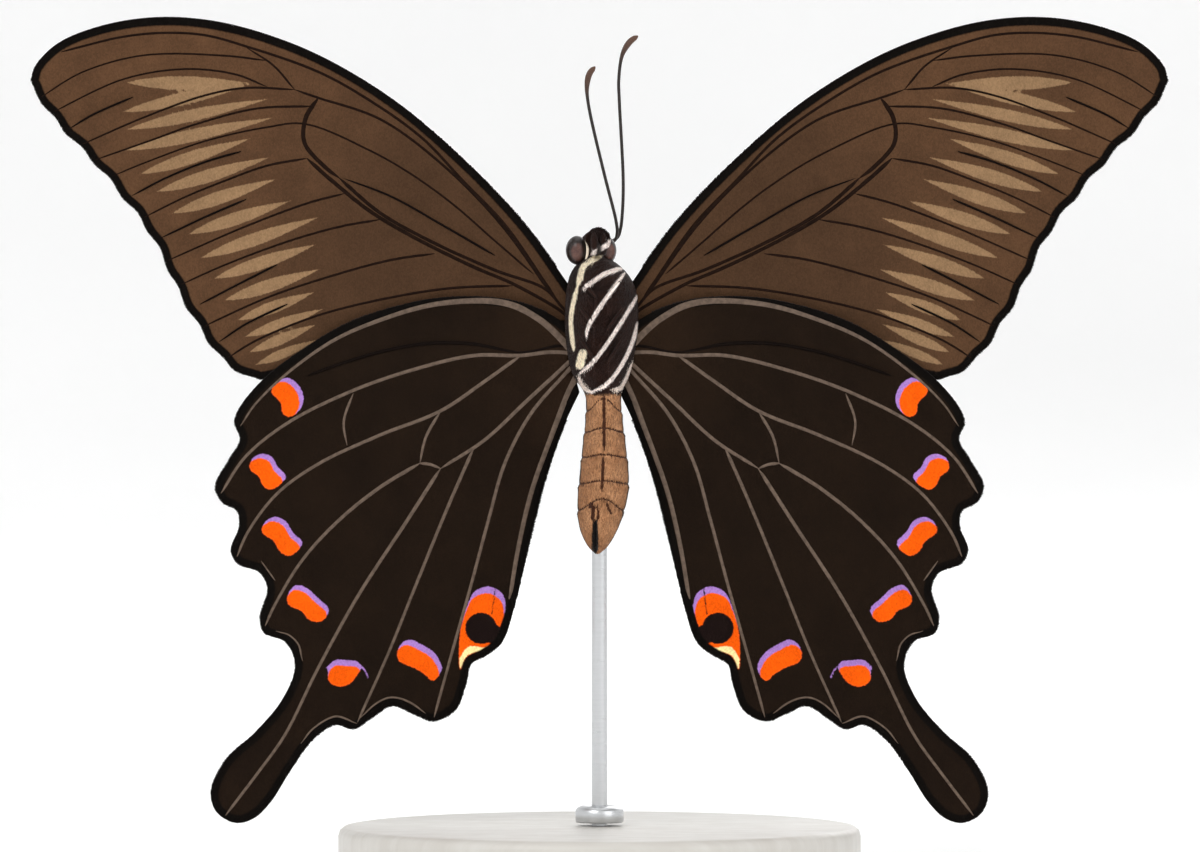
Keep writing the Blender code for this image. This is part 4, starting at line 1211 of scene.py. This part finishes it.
def make_eye_rim():
    """A pale crescent of scales on the face's side of the near eye: a flat cord bent round it, whose
    thickness is a power of a sine along it."""
    steps = 40
    swing = np.radians(np.linspace(*EYE_RIM_SWING, steps))
    path = head_place(-EYE_OFFSET + 0.36 + 0.36 * np.cos(swing), -np.cos(swing * 0.75) - 0.2,
                      1.12 * np.sin(swing) - EYE_DROP)
    thick = EYE_RIM_THICK * np.sin(np.linspace(0.15, np.pi - 0.15, steps)) ** 0.6
    rings = tube_rings(path, thick, thick * 0.7, 12, (-0.3, -1, 0))
    shade = np.full(len(loft_points(rings)), 0.5)
    finish = tuft_finish("eye rim scales", tone(238, 222, 200))
    wear(loft_piece("eye_rim_left", rings, finish, {"shade": shade}), "body_hair")


FACE_AT = (0.36, -0.85, 0.36)
FACE_SIZE = (1.08, 1.15, 1.14)
FACE_TUFTS = 3600
FACE_HAIR = ((0.3, 0.6), (0.05, 0.085), (0.2, 0.6))


def face_surface(tilt, turn):
    """The furry brow between the eyes: an ellipsoid by its tilt from the top and its turn."""
    shape = np.roll(ball(tilt, turn), -1, -1) * FACE_SIZE
    return head_place(*np.moveaxis(shape + FACE_AT, -1, 0))


def head_fields(here, *_):
    """The body's markings, as they fall on the front of the head."""
    return body_fields(here, np.zeros(here.shape[:-1]))


def face_lie(here, _):
    """Up the face and out from its middle, then forward over the crown."""
    out = here - head_place(*FACE_AT)
    crown = np.clip(out[:, 2:] / 0.8, 0, 1)
    forward = np.array([0.1, -0.35, 1.0]) * (1 - crown) + np.array([0.1, -1.0, 0.0]) * crown
    return forward + 0.5 * out * (1, 1, 0)


def make_face():
    """The brow's skin and its coat, which leaves out the part inside the head."""
    rng = np.random.default_rng(5)
    rings = face_surface(*ball_grid(40, 60))
    wear(loft_piece("face_skin", rings, BODY_SKIN, head_fields(loft_points(rings))), "body_hair")
    tilt = np.arccos(rng.uniform(-0.8, 0.998, FACE_TUFTS))
    turn = rng.uniform(-np.pi * 0.97, 0.05 * np.pi, FACE_TUFTS)
    make_coat("coat_face", face_surface, tilt, turn, face_lie, FACE_HAIR, head_fields, BODY_COAT,
              lambda tilt, turn: spread_flat((turn / (2 * np.pi)) % 1, tilt / np.pi), rng)


PALP_ACROSS = {"left": -0.3, "right": 0.62}
PALP_PATH = [(-0.95, -1.0), (-1.6, -1.05), (-2.1, -0.75), (-2.3, -0.2), (-2.25, 0.45), (-1.95, 1.12)]
PALP_RADII = [0.3, 0.36, 0.42, 0.46, 0.44, 0.25]
PALP_SKIN_DEPTH = 0.1
PALP_TUFTS = 1900
PALP_HAIR = ((0.25, 0.5), (0.05, 0.08), (0.2, 0.55))


def palp_surface(offset):
    """The feeler beside the tongue: circles square to a curve that bends up in front of the face, as a
    function of the share of its length and the turn, with both ends rounded off."""
    knots = np.array([(offset * (0.55 + 0.45 * min(k, 2) / 2), y, z) for k, (y, z) in enumerate(PALP_PATH)])
    path = smooth_curve(np.column_stack([knots, PALP_RADII]), 10)
    own = along(path[:, :3])

    def at(share, turn):
        x, y, z, r = [np.interp(share, own, path[:, k]) for k in range(4)]
        r = (r - PALP_SKIN_DEPTH) * np.sqrt(np.clip(1 - ((share - 0.5) / 0.5) ** 8, 0.0004, 1))
        ahead, behind = [[np.interp(share + d, own, path[:, k]) for k in (1, 2)] for d in (0.02, -0.02)]
        ty, tz = np.subtract(ahead, behind)
        size = np.hypot(ty, tz) + 1e-9
        across, front = r * np.sin(turn), r * np.cos(turn)
        return head_place(x + across, y - front * tz / size, z + front * ty / size)

    return at


def palp_spot(share, turn):
    """The palp laid flat: its turn across and its length up."""
    return spread_flat((turn / (2 * np.pi) + 0.5) % 1, share)


def make_palps():
    """Each palp's skin and its coat, which points up along it."""
    rng = np.random.default_rng(11)
    grid = np.meshgrid(np.linspace(0, 1, 60), np.linspace(-np.pi, np.pi, 32, endpoint=False), indexing="ij")
    for name, offset in PALP_ACROSS.items():
        surface = palp_surface(offset)
        rings = surface(*grid)
        skin = loft_piece(f"palp_skin_{name}", rings, BODY_SKIN, head_fields(loft_points(rings)))
        wear(skin, "body_hair", f"palp_{name}")
        share, turn = rng.uniform(0.02, 0.97, PALP_TUFTS), rng.uniform(-np.pi, np.pi, PALP_TUFTS)
        make_coat(f"coat_palp_{name}", surface, share, turn, lambda here, up: up + np.array([0.0, -0.1, 0.1]),
                  PALP_HAIR, head_fields, BODY_COAT, palp_spot, rng)


COIL_AT = (-2.15, -0.5)
COIL_RADIUS = 0.62
COIL_TURNS = 2.6
COIL_ACROSS = 0.12
COIL_THICK = 0.12


def horn_finish():
    """Dark horn with pale flecks and fine cross rings, brown where the club is."""
    f = Finish("horn", Roughness=0.42, Specular_IOR_Level=0.35)
    colour = f.mix(f.step(f.noise(4000.0, 3.0), 0.35, 0.75), tone(20, 14, 12), tone(44, 32, 26))
    colour = f.mix(f.field("club"), colour, tone(92, 62, 46))
    rings = f.math("PINGPONG", f.field("reach"), 0.11)
    f.set(Base_Color=f.mix(f.step(rings, 0.0, 0.03, 0.5, 0.0), colour, tone(6, 5, 4)))
    f.bump(f.math("ADD", f.math("MULTIPLY", rings, 4.0), f.noise(8000.0, 2.0)), 0.00003, 0.5)
    return f.material


HORN = horn_finish()


def make_cord_piece(name, cords, finish, node, more=no_fields):
    """Tapering cords joined in one piece. A cord is its path, its radius and its share of club at each
    point, and which way is up. Its fields are the distance along it, the share of club, and how far
    round to the front each point is. more works out further fields from the points."""
    parts, fields = [], {"reach": [], "club": [], "front": []}
    for path, radius, brown, up in cords:
        rings = tube_rings(path, radius, radius, 16, up)
        parts.append((loft_points(rings), loft_faces(len(path), 16)))
        own = along(path) * step_lengths(path).sum()
        front = (path[:, None, 1] - rings[..., 1]) / np.reshape(radius, (-1, 1))
        for key, values in (("reach", own[:, None]), ("club", np.reshape(brown, (-1, 1))), ("front", front)):
            fields[key].append(loft_points(np.broadcast_to(values, front.shape)[..., None])[:, 0])
    points, faces = joined(parts)
    fields = {key: np.concatenate(values) for key, values in fields.items()}
    wear(make_piece(name, points, faces, [finish], None, {**fields, **more(points)}), "horn", node)


def make_proboscis():
    """The tongue: a spiral from the mouth, its radius falling evenly with its turn, between the palps."""
    turn = np.linspace(0, 2 * np.pi * COIL_TURNS, 180)
    radius = COIL_RADIUS * (1 - 0.78 * turn / turn[-1])
    forward = COIL_AT[0] + radius * np.cos(turn - 0.3)
    up = COIL_AT[1] - radius * np.sin(turn - 0.3)
    lead = smooth_curve([(-0.9, -0.75), (-1.3, -0.6), (forward[0], up[0])], 10)[:-1]
    path = head_place(COIL_ACROSS, *np.vstack([lead, np.stack([forward, up], -1)]).T)
    thick = COIL_THICK * (1 - 0.45 * np.linspace(0, 1, len(path)))
    side = (math.cos(HEAD_TURN), math.sin(HEAD_TURN), 0)
    make_cord_piece("tongue_coil", [(path, thick, 0.0, side)], HORN, "proboscis")


ANTENNAE = {
    "left": [(-0.4, -0.7, 8.6), (0.35, 0.3, 8.4), (1.0, 0.35, 8.3), (1.5, 0.2, 8.6), (1.7, 0.0, 9.3),
             (1.58, -0.3, 10.4), (1.28, -0.5, 11.7), (0.5, -0.7, 14.7), (-1.05, -0.3, 21.5),
             (-1.2, -0.1, 23.3), (-0.95, 0.0, 24.5), (-0.4, 0.0, 25.2)],
    "right": [(-0.6, -0.5, 8.9), (0.35, 1.1, 8.6), (1.1, 1.3, 8.5), (1.75, 1.2, 8.9), (2.02, 1.0, 9.7),
              (2.17, 0.8, 10.9), (2.28, 0.6, 14.0), (1.9, 0.9, 22.0), (1.85, 1.0, 24.0),
              (2.2, 1.1, 26.4), (2.9, 1.1, 27.6), (3.7, 1.1, 28.2)],
}
SHAFT_RADIUS = 0.155
CLUB_RADIUS = 0.3
CLUB_REACH = 3.2


def make_antennae():
    """Ringed shafts: bells of the distance along them widen the base and the club, and a root of the
    distance left rounds off the tip."""
    for name, knots in ANTENNAE.items():
        path = smooth_curve(knots, 24)
        left = (1 - along(path)) * step_lengths(path).sum()
        club = SHAFT_RADIUS + (CLUB_RADIUS - SHAFT_RADIUS) * bell(left - 1.1, 1.25)
        base = 1 + 0.9 * bell(along(path) * 28, 0.45)
        radius = club * np.sqrt(np.clip(left / 0.35, 0.01, 1)) * base
        brown = np.clip(1 - left / CLUB_REACH, 0, 1) ** 0.7
        cord = (path, radius, brown, (0, -1, 0.01))
        make_cord_piece(f"antenna_shaft_{name}", [cord], HORN, f"antenna_{name}")


make_eyes()
make_eye_rim()
make_face()
make_palps()
make_proboscis()
make_antennae()


# ---------------------------------------------------------------- legs
# Each leg's hip and knee, across and up.
LEGS = [("fore", (0.75, 3.0), (1.9, 4.4)), ("mid", (0.85, 0.1), (2.2, 1.9)),
        ("hind", (0.85, -3.1), (2.1, -1.1))]
LEG_MIDDLE = 0.2
THIGH_LIFT = 0.45
SHIN_LIFT = 0.85
FOOT_DROP = (0.1, -1.6)
THIGH_RADIUS = 0.19
SHIN_RADIUS = 0.13
FOOT_RADIUS = 0.095
CLAW_RADIUS = 0.05


def over_belly(x, z, lift):
    """A place lift in front of the body's surface, which is an oval at each height."""
    cx, a, cy, b = trunk_at(z)
    return (x, cy - b * math.sqrt(max(1 - ((x - cx) / a) ** 2, 0.05)) - COAT_DEPTH - lift, z)


def bone(a, b, radius, belly, up=(1, 0.1, 0.3), steps=14):
    """One leg joint as a cord: straight, rounded at its ends by a root of the distance from them, and
    thinning evenly away from belly, the share of its length where it is thickest."""
    s = np.linspace(0, 1, steps)
    shape = np.sqrt(np.clip(np.minimum(s, 1 - s) * 10, 0.36, 1)) * (1 - 0.35 * np.abs(s - belly))
    return np.array(a) + s[:, None] * np.subtract(b, a), radius * shape, 0.0, up


def leg_finish():
    """Scaled legs: dark, with the chest's markings across their front, and fine rings of scales."""
    f = Finish("leg scales", Roughness=0.65, Specular_IOR_Level=0.1, Sheen_Weight=0.05)
    colour = f.mix(f.step(f.field("front"), 0.1, 0.5), tone(34, 20, 14), body_colour(f))
    f.cover(colour, f.step(f.noise(5200.0, 3.0, 0.6), 0.25, 0.75, 0.7, 1.25))
    f.bump(f.math("ADD", f.math("PINGPONG", f.field("reach"), 0.09), f.cells(9000.0)), 0.00003, 0.5)
    return f.material


def leg_cords(hip, knee, side):
    """One leg's cords: thigh, knee, shin back to the hip, five foot joints and two hooked claws."""
    hx, kx = [(LEG_MIDDLE + side * (x - LEG_MIDDLE), z) for x, z in (hip, knee)]
    foot = (hx[0] + side * FOOT_DROP[0], hx[1] + FOOT_DROP[1])
    root, bend, tip = over_belly(*hx, 0.1), over_belly(*kx, THIGH_LIFT), over_belly(*foot, THIGH_LIFT)
    knob, heel = over_belly(*kx, SHIN_LIFT), over_belly(*hx, SHIN_LIFT)
    cords = [bone(root, bend, THIGH_RADIUS, 0.4, (0.2, 0.1, 1)), bone(bend, knob, SHIN_RADIUS * 1.15, 0.5),
             bone(knob, heel, SHIN_RADIUS, 0.3, (0.2, 0.1, 1))]
    marks = np.linspace(0, 1, 6)[:, None] * np.subtract(tip, heel) + heel
    cords += [bone(p, q, FOOT_RADIUS, 0.7, steps=8) for p, q in zip(marks, marks[1:])]
    for spread in (-0.12, 0.12):
        hook = [tip, np.add(tip, (spread, -0.12, -0.14)), np.add(tip, (spread * 1.2, 0.02, -0.3))]
        claw = smooth_curve(hook, 5)
        cords.append((claw, CLAW_RADIUS * np.linspace(1, 0.2, len(claw)), 0.0, (1, 0.1, 0.3)))
    return cords


def make_legs():
    """Three legs on each side, folded flat under the chest."""
    finish = leg_finish()
    for name, hip, knee in LEGS:
        for word, side in (("left", -1), ("right", 1)):
            cords = leg_cords(hip, knee, side)
            make_cord_piece(f"leg_joints_{name}_{word}", cords, finish, f"leg_{name}_{word}", head_fields)


make_legs()


# ---------------------------------------------------------------- stand
BASE_PROFILE = [(0.0, 0.0), (24.4, 0.0), (24.75, 0.15), (24.9, 0.5), (25.0, 1.0), (25.0, 3.1), (24.85, 3.6),
                (24.45, 3.92), (23.9, 4.0), (0.0, 4.0)]
COLLAR_PROFILE = [(0.85, 4.32), (2.2, 4.32), (2.3, 4.45), (2.3, 5.45), (2.12, 5.72), (1.75, 5.9), (0.85, 5.9)]
ROD_RADIUS = 0.75
ROD_TOP = BODY_HEIGHT - 1.5
ROD_FOOT = 3.0


def spun(profile, sides):
    """Rings of a profile of radius and height above the floor, turned about the model's upright axis."""
    turn = np.linspace(0, 2 * np.pi, sides, endpoint=False)
    r, h = [np.array(profile)[:, k, None] for k in (0, 1)]
    return np.stack([r * np.cos(turn), r * np.sin(turn), h - BODY_HEIGHT + 0 * turn], -1)


def halved(rings):
    """Rings with one more half way between each two."""
    made = np.repeat(rings, 2, axis=0)[:-1]
    made[1::2] = rings[:-1] * 0.5 + rings[1:] * 0.5
    return made


def paint_finish():
    """Satin paint on wood: a faint warm mottle, brush grain and a fine orange-peel bump."""
    f = Finish("stand paint", Roughness=0.38, Specular_IOR_Level=0.4, Coat_Weight=0.15, Coat_Roughness=0.3)
    grain = f.noise(90.0, 4.0, 0.6, (1.0, 8.0, 1.0))
    f.set(Base_Color=f.mix(f.step(grain, 0.3, 0.7), tone(205, 202, 196), tone(196, 192, 185)))
    f.set(Roughness=f.step(f.noise(300.0, 3.0), 0.3, 0.7, 0.34, 0.46))
    f.bump(f.noise(1400.0, 3.0), 0.00003, 0.25)
    return f.material


def steel_finish():
    """Brushed steel: fine rings round the rod in its shine and its bump."""
    f = Finish("stand steel", Base_Color=(0.56, 0.57, 0.58, 1), Metallic=1.0, Roughness=0.3, Anisotropic=0.3)
    rings = f.noise(2600.0, 4.0, 0.7, (0.05, 0.05, 1.0))
    f.set(Base_Color=f.mix(rings, (0.5, 0.51, 0.52, 1), (0.64, 0.65, 0.66, 1)))
    f.set(Roughness=f.step(rings, 0.2, 0.8, 0.24, 0.42))
    f.bump(rings, 0.00002, 0.4)
    return f.material


def make_stand():
    """A turned disc, a ring round the rod's foot, and the rod up into the thorax's back."""
    steel = steel_finish()
    disc = halved(spun([(max(r, 0.01), h) for r, h in BASE_PROFILE], 160))
    wear(loft_piece("stand_disc", disc, paint_finish()), "stand_base", "stand_base")
    ring = spun(COLLAR_PROFILE, 96)
    points, faces = ring.reshape(-1, 3), loft_faces(len(ring) + 1, 96)[0] % (len(ring) * 96)
    wear(make_piece("stand_ring", points, [faces], [steel]), "stand_steel", "stand_collar")
    foot = [(0.02, ROD_FOOT), (0.7, ROD_FOOT), (ROD_RADIUS, ROD_FOOT + 0.1)]
    shaft = [(ROD_RADIUS, height) for height in np.linspace(ROD_FOOT + 1, ROD_TOP - 0.4, 30)]
    rod = spun(foot + shaft + [(0.6, ROD_TOP - 0.1), (0.02, ROD_TOP)], 48)
    wear(loft_piece("stand_post", rod, steel), "stand_steel", "stand_rod")


make_stand()


# ---------------------------------------------------------------- stage, lights and camera
BOWL_FLOOR, BOWL_TURN, BOWL_TOP = 1.9, 0.7, 2.8


def make_stage():
    """A pale bowl spun about the middle: a flat floor that turns up by a quarter circle into a wall."""
    bend = np.linspace(0, np.pi / 2, 24)[1:]
    wall = BOWL_FLOOR + BOWL_TURN
    radii = np.concatenate([np.linspace(0.02, BOWL_FLOOR, 30), BOWL_FLOOR + BOWL_TURN * np.sin(bend), [wall]])
    heights = np.concatenate([np.zeros(30), BOWL_TURN * (1 - np.cos(bend)), [BOWL_TOP]])
    turn = np.linspace(0, 2 * np.pi, 96, endpoint=False)
    r, h = radii[:, None], heights[:, None]
    rings = np.stack([r * np.cos(turn), r * np.sin(turn), h + 0 * turn], -1)
    quads, start, _ = loft_faces(*rings.shape[:2])
    mesh = bpy.data.meshes.new("stage_bowl")
    points = np.vstack([rings.reshape(-1, 3), [(0, 0, 0)]])
    mesh.from_pydata(points.tolist(), [], quads.tolist() + start.tolist())
    mesh.shade_smooth()
    f = Finish("stage paint", Roughness=0.9, Specular_IOR_Level=0.0)
    f.set(Base_Color=f.mix(f.step(f.noise(3.0, 3.0), 0.3, 0.7), (0.9, 0.9, 0.9, 1), (0.93, 0.93, 0.93, 1)))
    f.set(Emission_Color=(1.0, 1.0, 1.0, 1.0), Emission_Strength=0.16)
    f.bump(f.noise(900.0, 3.0), 0.00005, 0.2)
    mesh.materials.append(f.material)
    bowl = bpy.data.objects.new("stage_bowl", mesh)
    bpy.context.scene.collection.objects.link(bowl)


# Name, place, size and power; each is square, white and turned to the model's middle.
LIGHTS = (("key light", (-0.8, -1.3, 1.25), 0.9, 11), ("fill light", (1.2, -1.2, 0.7), 1.1, 5),
          ("top light", (0.0, 0.2, 1.9), 1.4, 9), ("back light", (0.5, 1.5, 1.0), 1.0, 7))
LIGHT_AIM = (0, 0, 0.045)
WORLD_STRENGTH = 0.35


def make_lights():
    """Four square lamps and an even white surround."""
    for name, place, size, power in LIGHTS:
        lamp = bpy.data.lights.new(name, "AREA")
        lamp.size, lamp.energy = size, power
        made = bpy.data.objects.new(name, lamp)
        made.location = place
        made.rotation_mode = "QUATERNION"
        way = Vector([a - p for a, p in zip(LIGHT_AIM, place)])
        made.rotation_quaternion = way.to_track_quat("-Z", "Y")
        bpy.context.scene.collection.objects.link(made)
    world = bpy.data.worlds.new("studio")
    world.use_nodes = True
    sky = world.node_tree.nodes["Background"].inputs
    sky["Color"].default_value, sky["Strength"].default_value = (1, 1, 1, 1), WORLD_STRENGTH
    bpy.context.scene.world = world
    bpy.context.scene.view_settings.view_transform = "Standard"


LENS = 200.0
SENSOR = 36.0
VIEW_WIDTH = 115.8
VIEW_MIDDLE = (0.05, 42.27)
VIEW_DEPTH = 5.0


def make_camera():
    """Level with the middle of the view, square to the wings, VIEW_WIDTH from side to side at VIEW_DEPTH."""
    data = bpy.data.cameras.new("camera")
    data.lens, data.sensor_width = LENS, SENSOR
    data.clip_start, data.clip_end = 0.01, 20
    data.dof.use_dof = False
    camera = bpy.data.objects.new("camera", data)
    away = VIEW_WIDTH * LENS / SENSOR
    camera.location = (VIEW_MIDDLE[0] * MM, (VIEW_DEPTH - away) * MM, VIEW_MIDDLE[1] * MM)
    camera.rotation_euler = (math.pi / 2, 0, 0)
    bpy.context.scene.collection.objects.link(camera)
    bpy.context.scene.camera = camera


make_stage()
make_lights()
make_camera()
